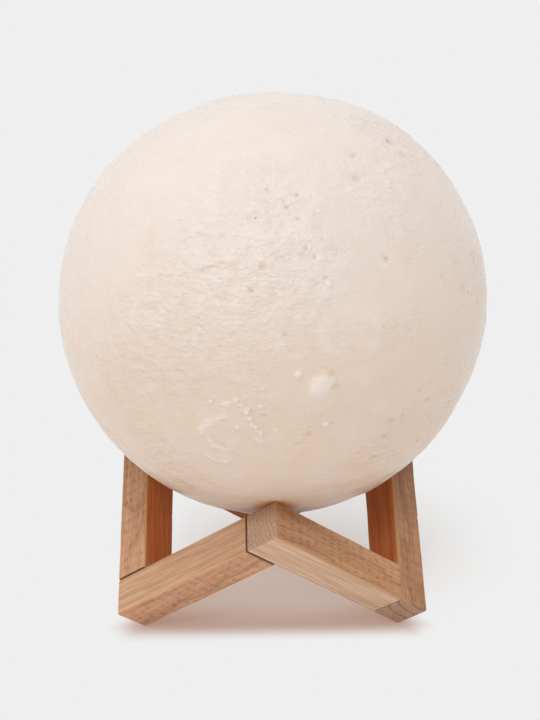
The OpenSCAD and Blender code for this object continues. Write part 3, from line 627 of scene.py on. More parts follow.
def cell_foam():
    """Closed-cell foam: near black, with the open half bubbles of a cut face."""
    material, tree = new_material("Closed-cell foam, cut face")
    place = add(tree, "ShaderNodeTexCoord").outputs["Object"]
    cells = add(
        tree, "ShaderNodeTexVoronoi", {"feature": "SMOOTH_F1"},
        {"Vector": place, "Scale": 1 / (0.55 * MM)},
    )
    shade_of = add(
        tree, "ShaderNodeMix", MIXED,
        {0: cells.outputs["Distance"], 6: rgba(linear("#17171a")), 7: rgba(linear("#46464b"))},
    ).outputs[2]
    bump = add(
        tree, "ShaderNodeBump", None,
        {"Strength": 1.0, "Distance": 0.25 * MM, "Height": cells.outputs["Distance"]},
    )
    close_material(tree, shade_of, {"Roughness": 0.85, "Normal": bump})
    return material


def clear_acrylic():
    """A polished acrylic light pipe: clear, with faint flow lines from its mould."""
    material, tree = new_material("Clear acrylic, polished")
    place = add(tree, "ShaderNodeTexCoord").outputs["Object"]
    flow = add(tree, "ShaderNodeMapping", None, {"Vector": place, "Scale": (1.0, 1.0, 0.2)})
    lines = add(tree, "ShaderNodeTexNoise", None, {"Vector": flow, "Scale": 1 / (0.8 * MM)})
    tint = add(
        tree, "ShaderNodeMix", MIXED,
        {0: lines, 6: rgba(linear("#f4f8f8")), 7: rgba(linear("#e6eeee"))},
    ).outputs[2]
    bump = add(tree, "ShaderNodeBump", None, {"Strength": 0.3, "Distance": 0.02 * MM, "Height": lines})
    close_material(
        tree, tint,
        {"Roughness": 0.06, "Normal": bump, "IOR": 1.49, "Transmission Weight": 0.9},
    )
    return material


def turned_birch(settings):
    """Turned dowel rod: pale, with tight straight fibres and small dark pores."""
    material, tree = new_material("Dowel rod, turned and fluted")
    place = add(tree, "ShaderNodeTexCoord").outputs["Object"]
    fibres = add(
        tree, "ShaderNodeTexNoise", None,
        {"Vector": place, "Scale": 1 / (0.5 * MM), "Detail": 4.0, "Roughness": 0.7},
    )
    pores = add(tree, "ShaderNodeTexVoronoi", None, {"Vector": place, "Scale": 1 / (0.8 * MM)})
    pore = add(tree, "ShaderNodeMapRange", None, (pores, 0.1, 0.25, 0.6, 0.0))
    rod = add(
        tree, "ShaderNodeMix", MIXED,
        {0: fibres, 6: rgba(settings.birch), 7: rgba([v * 0.7 for v in settings.birch])},
    ).outputs[2]
    rod = add(tree, "ShaderNodeMix", MIXED, {0: pore, 6: rod, 7: rgba(linear("#8c6b48"))}).outputs[2]
    bump = add(
        tree, "ShaderNodeBump", None, {"Strength": 0.6, "Distance": 0.05 * MM, "Height": fibres}
    )
    close_material(tree, rod, {"Roughness": 0.65, "Normal": bump})
    return material


def milky_diffuser():
    """Milky polycarbonate: light soaks into it, so that its edges glow and nothing shows
    sharply through, and its satin outside has a faint frosting."""
    material, tree = new_material("Milky polycarbonate, frosted")
    place = add(tree, "ShaderNodeTexCoord").outputs["Object"]
    frost = add(
        tree, "ShaderNodeTexNoise", None, {"Vector": place, "Scale": 1 / (0.3 * MM), "Detail": 2.0}
    )
    cloud = add(tree, "ShaderNodeTexNoise", None, {"Vector": place, "Scale": 1 / (9 * MM)})
    milk = add(
        tree, "ShaderNodeMix", MIXED,
        {0: cloud, 6: rgba(linear("#f5f3ee")), 7: rgba(linear("#ebe8e1"))},
    ).outputs[2]
    bump = add(tree, "ShaderNodeBump", None, {"Strength": 0.6, "Distance": 0.02 * MM, "Height": frost})
    close_material(
        tree, milk,
        {"Roughness": 0.5, "Normal": bump, "Transmission Weight": 0.25,
         "Subsurface Weight": 0.6, "Subsurface Radius": (1.0, 0.9, 0.8),
         "Subsurface Scale": 2 * MM},
    )
    return material


# Shapes


def body_of(node):
    """The body that a solid belongs to."""
    bodies = frame["record"]["behaviour"]["bodies"]
    return next(body for body, nodes in bodies.items() if node in nodes)


def slot_of(node):
    """The material slot that a solid has."""
    return next(p["material_slot"] for p in frame["record"]["subparts"] if p["node"] == node)


def dress(node, name, material, edge):
    """A finished copy of a solid: merged, its outer edges broken as a mould or a tool
    leaves them, and smooth where the real one is round."""
    mesh = frame["nodes"][node].data.copy()
    mesh.name = name
    mesh.materials.clear()
    mesh.materials.append(material)
    bm = bmesh.new()
    bm.from_mesh(mesh)
    bmesh.ops.remove_doubles(bm, verts=bm.verts, dist=0.002 * MM)
    bmesh.ops.dissolve_limit(
        bm, angle_limit=math.radians(0.6), verts=bm.verts, edges=bm.edges
    )
    bm.to_mesh(mesh)
    bm.free()
    item = draft(name, mesh)
    bevel = item.modifiers.new("edge", "BEVEL")
    bevel.width, bevel.segments, bevel.limit_method = edge, 2, "ANGLE"
    bevel.angle_limit = math.radians(42)
    bevel.use_clamp_overlap = True
    mesh = evaluated(item)
    shade(mesh, 42)
    return piece(name, mesh, body_of(node), slot_of(node), node)


def lathe(profile, material, segments, place):
    """A closed turned mesh from (radius, height) points that run up from axis to axis."""
    bm = bmesh.new()
    rings = []
    for r, z in profile:
        if r == 0:
            rings.append([bm.verts.new((0, 0, z))])
            continue
        angles = [2 * math.pi * i / segments for i in range(segments)]
        rings.append([bm.verts.new((r * math.cos(a), r * math.sin(a), z)) for a in angles])
    for a, b in zip(rings, rings[1:]):
        for i in range(segments):
            j = (i + 1) % segments
            if len(a) == 1:
                bm.faces.new((a[0], b[i], b[j]))
            elif len(b) == 1:
                bm.faces.new((a[i], b[0], a[j]))
            else:
                bm.faces.new((a[i], b[i], b[j], a[j]))
    bmesh.ops.recalc_face_normals(bm, faces=bm.faces)
    bmesh.ops.transform(bm, matrix=place, verts=bm.verts)
    mesh = bpy.data.meshes.new("turned")
    bm.to_mesh(mesh)
    bm.free()
    mesh.materials.append(material)
    return mesh


def piece(name, mesh, body, slot, *nodes):
    """Link a finished mesh, ride it on its body and let it stand for its solids."""
    item = bpy.data.objects.new(name, mesh)
    bpy.context.scene.collection.objects.link(item)
    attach(item, body)
    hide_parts(*nodes)
    return item


def shade(mesh, angle):
    """Smooth shading, with edges sharper than the angle kept."""
    mesh.polygons.foreach_set("use_smooth", [True] * len(mesh.polygons))
    mesh.set_sharp_from_angle(angle=math.radians(angle))
    mesh.update()


def evaluated(item):
    """A plain mesh of the object with its modifiers applied. The object is then removed."""
    graph = bpy.context.evaluated_depsgraph_get()
    mesh = bpy.data.meshes.new_from_object(item.evaluated_get(graph), depsgraph=graph)
    old = item.data
    bpy.data.objects.remove(item)
    bpy.data.meshes.remove(old)
    return mesh


def draft(name, mesh):
    item = bpy.data.objects.new(name, mesh)
    bpy.context.scene.collection.objects.link(item)
    return item


def unit_at(lon, lat):
    """A point on the unit ball, at a longitude from the front and a latitude, in degrees."""
    lon, lat = math.radians(lon), math.radians(lat)
    return Vector((math.cos(lat) * math.sin(lon), -math.cos(lat) * math.cos(lon), math.sin(lat)))


def upright(k):
    """The cube's frame for the k-th third of the ring, stood on its corner."""
    turn = lambda axis, degrees: Matrix.Rotation(math.radians(degrees), 4, axis)
    return (
        turn("Z", 120 * k) @ Matrix.Translation((0, 0, -TABLE_S)) @ turn("Z", -90)
        @ Matrix.Rotation(-CUBE_TILT, 4, "Y") @ turn("Z", -45)
    )


def bar_place(k, high):
    """Where a bar lies. A low bar's bare end is a foot, a high bar's is a top corner."""
    if high:
        own = (
            Matrix.Translation((CUBE, CUBE, BAR_SIDE)) @ Matrix.Rotation(math.pi, 4, "Z")
            @ Matrix.Rotation(-math.pi / 2, 4, "X")
        )
    else:
        own = Matrix.Translation((CUBE, 0, 0)) @ Matrix.Rotation(math.pi / 2, 4, "Z")
    return upright(k) @ own


def eased_bar(arris, seed):
    """A square bar along X whose arrises were eased by hand, so their radius wanders."""
    bend_steps, corner_steps, stations = 5, 4, 54
    bm = bmesh.new()
    # Stations along the bar: distance, and how far its outline is drawn in. The bare end is
    # rounded like the arrises, and the end that is glued is only broken.
    bends = [math.pi / 2 * i / bend_steps for i in range(bend_steps)]
    bare, broken = (
        [(r * (1 - math.cos(a)), r * (1 - math.sin(a))) for a in bends] for r in (arris, 0.2 * MM)
    )
    first, last = arris, BAR_L - 0.2 * MM
    spans = bare + [(first + (last - first) * i / stations, 0.0) for i in range(stations + 1)]
    spans += [(BAR_L - x, drawn_in) for x, drawn_in in reversed(broken)]
    loops = []
    for x, drawn_in in spans:
        loop = []
        for corner in range(4):
            # The bare end stands on the table or carries the moon, so it keeps its size
            free = min(1, x / (6 * MM))
            wander = noise.noise(Vector((x / (9 * MM), corner * 7.3, seed * 3.1)))
            nick = max(0, noise.noise(Vector((x / (2.2 * MM), corner * 5.1, seed * 9.7))) - 0.45)
            r = (arris - drawn_in) * (1 + free * (0.28 * wander + 1.6 * nick))
            half = BAR_SIDE / 2 - drawn_in
            for step in range(corner_steps + 1):
                a = math.pi / 2 * (corner + step / corner_steps)
                sx, sy = ((1, 1), (-1, 1), (-1, -1), (1, -1))[corner]
                y = sx * (half - r) + r * math.cos(a)
                z = sy * (half - r) + r * math.sin(a)
                loop.append(bm.verts.new((x, y + BAR_SIDE / 2, z + BAR_SIDE / 2)))
        loops.append(loop)
    count = len(loops[0])
    for a, b in zip(loops, loops[1:]):
        for i in range(count):
            j = (i + 1) % count
            bm.faces.new((a[i], b[i], b[j], a[j]))
    bm.faces.new(loops[0])
    bm.faces.new(list(reversed(loops[-1])))
    bmesh.ops.remove_doubles(bm, verts=bm.verts, dist=0.001 * MM)
    bmesh.ops.recalc_face_normals(bm, faces=bm.faces)
    mesh = bpy.data.meshes.new("bar")
    bm.to_mesh(mesh)
    bm.free()
    return mesh


def cylinder(bm, radius, height, place):
    """A closed cylinder that runs up from its place."""
    bmesh.ops.create_cone(
        bm, cap_ends=True, segments=48, radius1=radius, radius2=radius, depth=height,
        matrix=place @ Matrix.Translation((0, 0, height / 2)),
    )


def drilled(mesh):
    """The bar with its two blind dowel holes."""
    hole_r = DOWEL_D / 2 + 0.05 * MM
    deep = (DOWEL_L - GLUE_LINE) / 2 + 0.3 * MM
    past = 1 * MM
    bm = bmesh.new()
    middle = BAR_SIDE / 2
    cylinder(bm, hole_r, deep + past, Matrix.Translation((middle, middle, BAR_SIDE - deep)))
    side = Matrix.Translation((BAR_L - deep, middle, middle)) @ Matrix.Rotation(math.pi / 2, 4, "Y")
    cylinder(bm, hole_r, deep + past, side)
    cutter_mesh = bpy.data.meshes.new("drill")
    bm.to_mesh(cutter_mesh)
    bm.free()
    cutter = draft("drill", cutter_mesh)
    bar = draft("bar", mesh)
    cut = bar.modifiers.new("holes", "BOOLEAN")
    cut.operation, cut.solver, cut.object = "DIFFERENCE", "EXACT", cutter
    result = evaluated(bar)
    bpy.data.objects.remove(cutter)
    bpy.data.meshes.remove(cutter_mesh)
    return result


def smooth_step(x):
    x = np.clip(x, 0, 1)
    return x * x * (3 - 2 * x)


def moon_shell_mesh():
    """The moon's skin as an even grid, closed by its seat, collar and inner wall."""
    # The grid is a cube's, spread over the ball: cells from the middle of a side to its edge,
    # and from the middle of the lower side to the rim of the opening
    half, hole = 52, 20
    ease = 0.25 * MM
    mouth_angle = math.asin((SEAT_R + ease) / MOON_R)
    skin_from = MOON_R - 0.3 * MM
    grid = {}
    bm = bmesh.new()

    def vertex(i, j, k):
        key = (i, j, k)
        if key in grid:
            return grid[key]
        v = Vector([math.tan(math.pi / 4 * n / half) for n in key]).normalized()
        if k == -half:
            # Squares round the opening turn into circles
            m = max(abs(i), abs(j))
            t = (m - hole) / (half - hole)
            around = math.atan2(math.tan(math.pi / 4 * j / m), math.tan(math.pi / 4 * i / m))
            circle = mouth_angle + (math.pi / 4 - mouth_angle) * t
            down = circle + (math.acos(-v.z) - circle) * t * t * (3 - 2 * t)
            v = Vector((
                math.sin(down) * math.cos(around), math.sin(down) * math.sin(around),
                -math.cos(down),
            ))
        grid[key] = bm.verts.new(v * MOON_R)
        return grid[key]

    steps = range(-half, half)
    for a in steps:
        for b in steps:
            for side in (-half, half):
                corners = ((a, b), (a + 1, b), (a + 1, b + 1), (a, b + 1))
                for order in ("xy", "yz", "zx"):
                    if order == "xy" and side < 0 and all(
                        max(abs(p), abs(q)) <= hole for p, q in corners
                    ):
                        continue
                    at = {
                        "xy": lambda p, q: (p, q, side),
                        "yz": lambda p, q: (side, p, q),
                        "zx": lambda p, q: (q, side, p),
                    }[order]
                    loop = [vertex(*at(p, q)) for p, q in corners]
                    bm.faces.new(loop if side > 0 else list(reversed(loop)))
    skin_faces = list(bm.faces)
    # Seat, mouth and collar, then the inner wall up to its pole
    rim = [grid[(i, j, -half)] for i, j in ring_of(hole)]
    inner_r = MOON_R - SKIN_T
    collar_top = -SEAT_DROP + COLLAR_H
    profile = [
        (SEAT_R, -SEAT_DROP - ease), (SEAT_R, -SEAT_DROP), (MOUTH_R + ease, -SEAT_DROP),
        (MOUTH_R, -SEAT_DROP + ease), (MOUTH_R, collar_top - ease), (MOUTH_R + ease, collar_top),
        (COLLAR_R - ease, collar_top), (COLLAR_R, collar_top - ease),
        (COLLAR_R, -math.sqrt(inner_r**2 - COLLAR_R**2)),
    ]
    start = math.asin(COLLAR_R / inner_r)
    rows = 22
    for n in range(1, rows):
        a = start + (math.pi - start) * n / rows
        profile.append((inner_r * math.sin(a), -inner_r * math.cos(a)))
    last = rim
    for r, z in profile:
        ring = []
        for v in rim:
            around = math.atan2(v.co.y, v.co.x)
            ring.append(bm.verts.new((r * math.cos(around), r * math.sin(around), z)))
        join_rings(bm, last, ring)
        last = ring
    pole = bm.verts.new((0, 0, inner_r))
    for i, v in enumerate(last):
        bm.faces.new((v, last[(i + 1) % len(last)], pole))
    # The front has the fine marks, so its grid is closer, and closest round the star of ridges
    # and along the crease
    for west, east, south, north in ((-40, 17, -28, 46), (-21, -1, -27, -5), (-34, -12, 19.5, 27)):
        fine = []
        for face in skin_faces:
            c = face.calc_center_median()
            lon, lat = math.degrees(math.atan2(c.x, -c.y)), math.degrees(math.asin(c.z / c.length))
            if west < lon < east and south < lat < north:
                fine.append(face)
        edges = list({e for f in fine for e in f.edges})
        bmesh.ops.subdivide_edges(bm, edges=edges, cuts=1, use_grid_fill=True)
        skin_faces = [f for f in bm.faces if f.calc_center_median().length > skin_from]
    for v in bm.verts:
        if v.co.length > skin_from:
            v.co = v.co.normalized() * MOON_R
    bmesh.ops.recalc_face_normals(bm, faces=bm.faces)
    bmesh.ops.translate(bm, verts=bm.verts, vec=MOON_CENTRE)
    mesh = bpy.data.meshes.new("moon_grid")
    bm.to_mesh(mesh)
    bm.free()
    return mesh, mouth_angle


def ring_of(m):
    """The lattice points of a square ring, in order round it."""
    ring = [(m, j) for j in range(-m, m)] + [(i, m) for i in range(m, -m, -1)]
    return ring + [(-m, j) for j in range(m, -m, -1)] + [(i, -m) for i in range(-m, m)]


def join_rings(bm, a, b):
    count = len(a)
    for i in range(count):
        j = (i + 1) % count
        bm.faces.new((a[i], b[i], b[j], a[j]))


def mark_heights(directions):
    """The height of the marks at each point of the skin, in millimetres."""
    here = directions * (MOON_R / MM)
    # Each mark's edge wanders, and the ridges swell into beads
    waves = ((1.9, 0.7, -1.3), (-0.9, 2.1, 1.1), (0.6, -1.4, 2.3), (3.1, 1.2, 2.2), (-2.4, 3.3, 1.5))
    ripple = np.sin(here @ np.array(waves).T)
    beads = 0.85 + 0.3 * ripple[:, 3] * ripple[:, 4]
    here = here + 0.28 * ripple[:, :3]
    total = np.zeros(len(here))
    at = lambda lon, lat: np.array(unit_at(lon, lat)) * (MOON_R / MM)
    for height, width, *points in STROKES:
        away = np.full(len(here), 1e9)
        for a, b in zip(points, points[1:]):
            a, b = at(*a), at(*b)
            along = np.clip(((here - a) @ (b - a)) / ((b - a) @ (b - a)), 0, 1)
            away = np.minimum(away, np.linalg.norm(here - a - along[:, None] * (b - a), axis=1))
        total += height * beads * np.exp(-((away / width) ** 2))
    for lon, lat, radius, height in DOTS:
        away = np.linalg.norm(here - at(lon, lat), axis=1)
        total += height * smooth_step((1.3 - away / radius) / 1.1)
    for lon, lat, radius, width, height in RINGS:
        away = np.linalg.norm(here - at(lon, lat), axis=1) - radius
        total += height * np.exp(-((away / width) ** 2))
    return total


def relief_tree(material):
    """Geometry nodes that raise the moon's relief: craters on a golden spiral, broad swells,
    soft lumps, wrinkles and pits, and the marks that the mesh carries."""
    tree, given = new_tree("Moon relief", (
        ("Crater places", "NodeSocketInt", "Places on the spiral that craters are set out on"),
        ("Smallest crater", "NodeSocketFloat", "Rim radius of the smallest crater"),
        ("Largest crater", "NodeSocketFloat", "Rim radius of the largest crater"),
        ("Crater slope", "NodeSocketFloat", "Depth of a crater for each unit of its radius"),
        ("Swell", "NodeSocketFloat", "Height of the broad waves"),
        ("Lumps", "NodeSocketFloat", "Height of the soft lumps"),
        ("Wrinkles", "NodeSocketFloat", "Height of the wrinkles"),
        ("Marks", "NodeSocketFloat", "Height of the marks, for each unit they are listed with"),
        ("Sag", "NodeSocketFloat", "How far the skin's shape strays from a ball"),
        ("Moon radius", "NodeSocketFloat", "Radius of the skin"),
        ("Centre height", "NodeSocketFloat", "Height of the moon's centre"),
    ))
    centre = add(tree, "ShaderNodeCombineXYZ", None, {2: given["Centre height"]})
    # Crater centres: point i of n lies at sine 1 - (2i + 1) / n of latitude, a golden angle on
    index = add(tree, "GeometryNodeInputIndex")
    sine = add(tree, "ShaderNodeMath", "MULTIPLY_ADD", (index, 2.0, 1.0))
    sine = add(tree, "ShaderNodeMath", "DIVIDE", (sine, given["Crater places"]))
    sine = add(tree, "ShaderNodeMath", "SUBTRACT", (1.0, sine))
    cosine = add(tree, "ShaderNodeMath", "MULTIPLY", (sine, sine))
    cosine = add(tree, "ShaderNodeMath", "SUBTRACT", (1.0, cosine))
    cosine = add(tree, "ShaderNodeMath", "SQRT", {0: cosine})
    turn = add(tree, "ShaderNodeMath", "MULTIPLY", (index, math.pi * (3 - math.sqrt(5))))
    east = add(tree, "ShaderNodeMath", "SINE", {0: turn})
    east = add(tree, "ShaderNodeMath", "MULTIPLY", (cosine, east))
    north = add(tree, "ShaderNodeMath", "COSINE", {0: turn})
    north = add(tree, "ShaderNodeMath", "MULTIPLY", (cosine, north))
    north = add(tree, "ShaderNodeMath", "MULTIPLY", (north, -1.0))
    way = add(tree, "ShaderNodeCombineXYZ", None, (east, north, sine))
    spot = add(tree, "ShaderNodeVectorMath", "MULTIPLY_ADD", (way, given["Moon radius"], centre))
    golden_part = (math.sqrt(5) - 1) / 2
    share = add(tree, "ShaderNodeMath", "MULTIPLY_ADD", (index, 7 * golden_part, 3 * golden_part))
    share = add(tree, "ShaderNodeMath", "FRACT", {0: share})
    share = add(tree, "ShaderNodeMath", "POWER", (share, 2.0))
    span = add(tree, "ShaderNodeMath", "SUBTRACT", (given["Largest crater"], given["Smallest crater"]))
    crater_r = add(tree, "ShaderNodeMath", "MULTIPLY_ADD", (share, span, given["Smallest crater"]))
    points = add(tree, "GeometryNodePoints", None, {"Count": given["Crater places"], "Position": spot})
    points = add(
        tree, "GeometryNodeStoreNamedAttribute", {"data_type": "FLOAT", "domain": "POINT"},
        {"Geometry": points, "Name": "crater_r", "Value": crater_r},
    )
    # No crater in front, low down, on the widest line, or where the moon rests on the stand
    forward = add(tree, "ShaderNodeVectorMath", "DOT_PRODUCT", (way, unit_at(0, 19)))
    in_front = add(tree, "ShaderNodeMath", "GREATER_THAN", (forward.outputs["Value"], 0.06))
    low_down = add(tree, "ShaderNodeMath", "LESS_THAN", (sine, -math.sin(math.radians(56))))
    left_out = add(tree, "ShaderNodeMath", "MAXIMUM", (in_front, low_down))
    too_wide = math.cos(math.radians(10))
    for value in (east, north, sine):
        reach = add(tree, "ShaderNodeMath", "ABSOLUTE", {0: value})
        near_widest = add(tree, "ShaderNodeMath", "GREATER_THAN", (reach, too_wide))
        left_out = add(tree, "ShaderNodeMath", "MAXIMUM", (left_out, near_widest))
    seats = [unit_at(120 * k, SEAT_LAT) for k in range(3)]
    too_near = math.cos(math.radians(13))
    for seat in seats:
        dot = add(tree, "ShaderNodeVectorMath", "DOT_PRODUCT", (way, seat))
        near = add(tree, "ShaderNodeMath", "GREATER_THAN", (dot.outputs["Value"], too_near))
        left_out = add(tree, "ShaderNodeMath", "MAXIMUM", (left_out, near))
    points = add(
        tree, "GeometryNodeDeleteGeometry", {"domain": "POINT"},
        {"Geometry": points, "Selection": left_out},
    )
    # Each point of the skin looks up its nearest crater
    place = add(tree, "GeometryNodeInputPosition")
    nearest = add(
        tree, "GeometryNodeSampleNearest", {"domain": "POINT"},
        {"Geometry": points, "Sample Position": place},
    )
    held = add(tree, "GeometryNodeInputNamedAttribute", {"data_type": "FLOAT"}, {"Name": "crater_r"})
    near_r = add(
        tree, "GeometryNodeSampleIndex", {"data_type": "FLOAT", "domain": "POINT"},
        {"Geometry": points, "Value": held, "Index": nearest},
    )
    near_at = add(
        tree, "GeometryNodeSampleIndex", {"data_type": "FLOAT_VECTOR", "domain": "POINT"},
        {"Geometry": points, "Value": place, "Index": nearest},
    )
    away = add(tree, "ShaderNodeVectorMath", "DISTANCE", (place, near_at)).outputs["Value"]
    # A bowl inside the rim, and the rim as a soft ridge just outside it
    part = add(tree, "ShaderNodeMath", "DIVIDE", (away, near_r))
    bowl = add(tree, "ShaderNodeMapRange", SMOOTH, (part, 0.3, 1.05, -1.0, 0.0))
    off_rim = add(tree, "ShaderNodeMath", "SUBTRACT", (part, 1.12))
    off_rim = add(tree, "ShaderNodeMath", "DIVIDE", (off_rim, 0.2))
    rim = add(tree, "ShaderNodeMath", "MULTIPLY", (off_rim, off_rim))
    rim = add(tree, "ShaderNodeMath", "MULTIPLY", (rim, -1.0))
    rim = add(tree, "ShaderNodeMath", "POWER", (math.e, rim))
    shape = add(tree, "ShaderNodeMath", "MULTIPLY_ADD", (rim, 0.22, bowl))
    deep = add(tree, "ShaderNodeMath", "MULTIPLY", (near_r, given["Crater slope"]))
    craters = add(tree, "ShaderNodeMath", "MULTIPLY", (shape, deep))
    # Direction from the moon's centre
    out = add(tree, "ShaderNodeVectorMath", "SUBTRACT", (place, centre))
    out = add(tree, "ShaderNodeVectorMath", "NORMALIZE", {0: out})

    def within(lon, lat, inner, outer):
        """1 near a direction, falling to 0 between two angles from it."""
        dot = add(tree, "ShaderNodeVectorMath", "DOT_PRODUCT", (out, unit_at(lon, lat)))
        none, full = math.cos(math.radians(outer)), math.cos(math.radians(inner))
        return add(tree, "ShaderNodeMapRange", SMOOTH, (dot.outputs["Value"], none, full))

    # Broad swells, and soft lumps
    swell = add(
        tree, "ShaderNodeTexNoise", None, {"Vector": place, "Scale": 1 / (34 * MM), "Detail": 2.0}
    )
    swell = add(tree, "ShaderNodeMath", "MULTIPLY_ADD", (swell, 2.0, -1.0))
    swell = add(tree, "ShaderNodeMath", "MULTIPLY", (swell, given["Swell"]))
    lumps = add(
        tree, "ShaderNodeTexNoise", None, {"Vector": place, "Scale": 1 / (8 * MM), "Detail": 3.0}
    )
    lumps = add(tree, "ShaderNodeMath", "MULTIPLY_ADD", (lumps, 2.0, -1.0))
    lumps = add(tree, "ShaderNodeMath", "MULTIPLY", (lumps, given["Lumps"]))
    # The skin is crinkled in two places in front, in patches all round, and behind
    patches = add(
        tree, "ShaderNodeTexNoise", None, {"Vector": place, "Scale": 1 / (30 * MM), "Detail": 1.0}
    )
    patches = add(tree, "ShaderNodeMapRange", SMOOTH, (patches, 0.5, 0.66, 0.12, 0.72))
    crinkled = add(tree, "ShaderNodeMath", "MAXIMUM", (within(-8, 28, 8, 34), within(-30, 5, 6, 26)))
    crinkled = add(tree, "ShaderNodeMath", "MAXIMUM", (crinkled, patches))
    behind = add(tree, "ShaderNodeMath", "MULTIPLY", (within(180, 5, 40, 84), 0.6))
    crinkled = add(tree, "ShaderNodeMath", "MAXIMUM", (crinkled, behind))
    # It is calmer low down and on its upper left
    for lon, lat, inner, outer, share in ((0, -90, 40, 68, 1.0), (-88, 42, 18, 50, 0.7)):
        calm = add(
            tree, "ShaderNodeMath", "MULTIPLY_ADD", (within(lon, lat, inner, outer), -share, 1.0)
        )
        crinkled = add(tree, "ShaderNodeMath", "MULTIPLY", (crinkled, calm))
    # Wrinkles lie level, so they are drawn together from top to bottom
    flat = add(tree, "ShaderNodeVectorMath", "MULTIPLY", (place, (1.0, 1.0, 1.7)))
    wave = add(
        tree, "ShaderNodeTexNoise", None,
        {"Vector": flat, "Scale": 1 / (5 * MM), "Detail": 2.0, "Distortion": 0.3},
    )
    wave = add(tree, "ShaderNodeMath", "MULTIPLY_ADD", (wave, 2.0, -1.0))
    folds = add(tree, "ShaderNodeMath", "MULTIPLY", (crinkled, given["Wrinkles"]))
    wrinkles = add(tree, "ShaderNodeMath", "MULTIPLY", (wave, folds))
    # Pits, to the right in front and in patches all round
    pit_cell = add(tree, "ShaderNodeTexVoronoi", None, {"Vector": place, "Scale": 1 / (5 * MM)})
    pit = add(tree, "ShaderNodeMapRange", SMOOTH, (pit_cell, 0.05, 0.3, -0.2 * MM, 0.0))
    pitted = add(
        tree, "ShaderNodeTexNoise", None, {"Vector": place, "Scale": 1 / (26 * MM), "Detail": 1.0}
    )
    pitted = add(tree, "ShaderNodeMapRange", None, (pitted, 0.56, 0.64, 0.0, 0.8))
    pitted = add(tree, "ShaderNodeMath", "MAXIMUM", (within(46, -16, 10, 26), pitted))
    pits = add(tree, "ShaderNodeMath", "MULTIPLY", (pit, pitted))
    marks = add(tree, "GeometryNodeInputNamedAttribute", {"data_type": "FLOAT"}, {"Name": "marks"})
    skin = add(tree, "GeometryNodeInputNamedAttribute", {"data_type": "FLOAT"}, {"Name": "skin"})
    fine = add(tree, "ShaderNodeMath", "MULTIPLY", (marks, given["Marks"]))
    for height in (lumps, wrinkles, pits):
        fine = add(tree, "ShaderNodeMath", "ADD", (fine, height))
    relief = add(tree, "ShaderNodeMath", "ADD", (craters, swell))
    relief = add(tree, "ShaderNodeMath", "ADD", (relief, fine))
    for lon, lat, inner, outer, share in SAGS:
        sag = add(tree, "ShaderNodeMath", "MULTIPLY", (within(lon, lat, inner, outer), given["Sag"]))
        relief = add(tree, "ShaderNodeMath", "MULTIPLY_ADD", (sag, share, relief))
    # The skin is plain where it rests on the three corners
    for seat in seats:
        near = within(math.degrees(math.atan2(seat.x, -seat.y)), SEAT_LAT, 4, 10)
        free = add(tree, "ShaderNodeMath", "SUBTRACT", (1.0, near))
        relief = add(tree, "ShaderNodeMath", "MULTIPLY", (relief, free))
    relief = add(tree, "ShaderNodeMath", "MULTIPLY", (relief, skin))
    offset = add(tree, "ShaderNodeVectorMath", "SCALE", {0: out, "Scale": relief})
    # The skin's material reads where it is crinkled and how far it stands proud
    raised = add(tree, "ShaderNodeMath", "DIVIDE", (fine, 0.4 * MM))
    moon = add(
        tree, "GeometryNodeStoreNamedAttribute", {"data_type": "FLOAT", "domain": "POINT"},
        {"Geometry": given["Geometry"], "Name": "crinkled", "Value": crinkled},
    )
    moon = add(
        tree, "GeometryNodeStoreNamedAttribute", {"data_type": "FLOAT", "domain": "POINT"},
        {"Geometry": moon, "Name": "raised", "Value": raised},
    )
    moon = add(tree, "GeometryNodeSetPosition", None, {"Geometry": moon, "Offset": offset})
    return finish_tree(tree, moon, material)


def set_inputs(modifier, values):
    """Fill a modifier's inputs by their names."""
    sockets = {s.name: s.identifier for s in modifier.node_group.interface.items_tree
               if s.item_type == "SOCKET" and s.in_out == "INPUT"}
    for name, value in values.items():
        modifier[sockets[name]] = value


def new_tree(name, inputs):
    """A geometry tree with a geometry in and out and the named inputs."""
    tree = bpy.data.node_groups.new(name, "GeometryNodeTree")
    tree.interface.new_socket("Geometry", in_out="INPUT", socket_type="NodeSocketGeometry")
    for label, kind, text in inputs:
        tree.interface.new_socket(label, in_out="INPUT", socket_type=kind).description = text
    tree.interface.new_socket("Geometry", in_out="OUTPUT", socket_type="NodeSocketGeometry")
    return tree, add(tree, "NodeGroupInput").outputs


def finish_tree(tree, geometry, material):
    """End a tree: real geometry in one material."""
    real = add(tree, "GeometryNodeRealizeInstances", None, {"Geometry": geometry})
    done = add(tree, "GeometryNodeSetMaterial", None, {"Geometry": real, "Material": material})
    add(tree, "NodeGroupOutput", None, {"Geometry": done})
    return tree


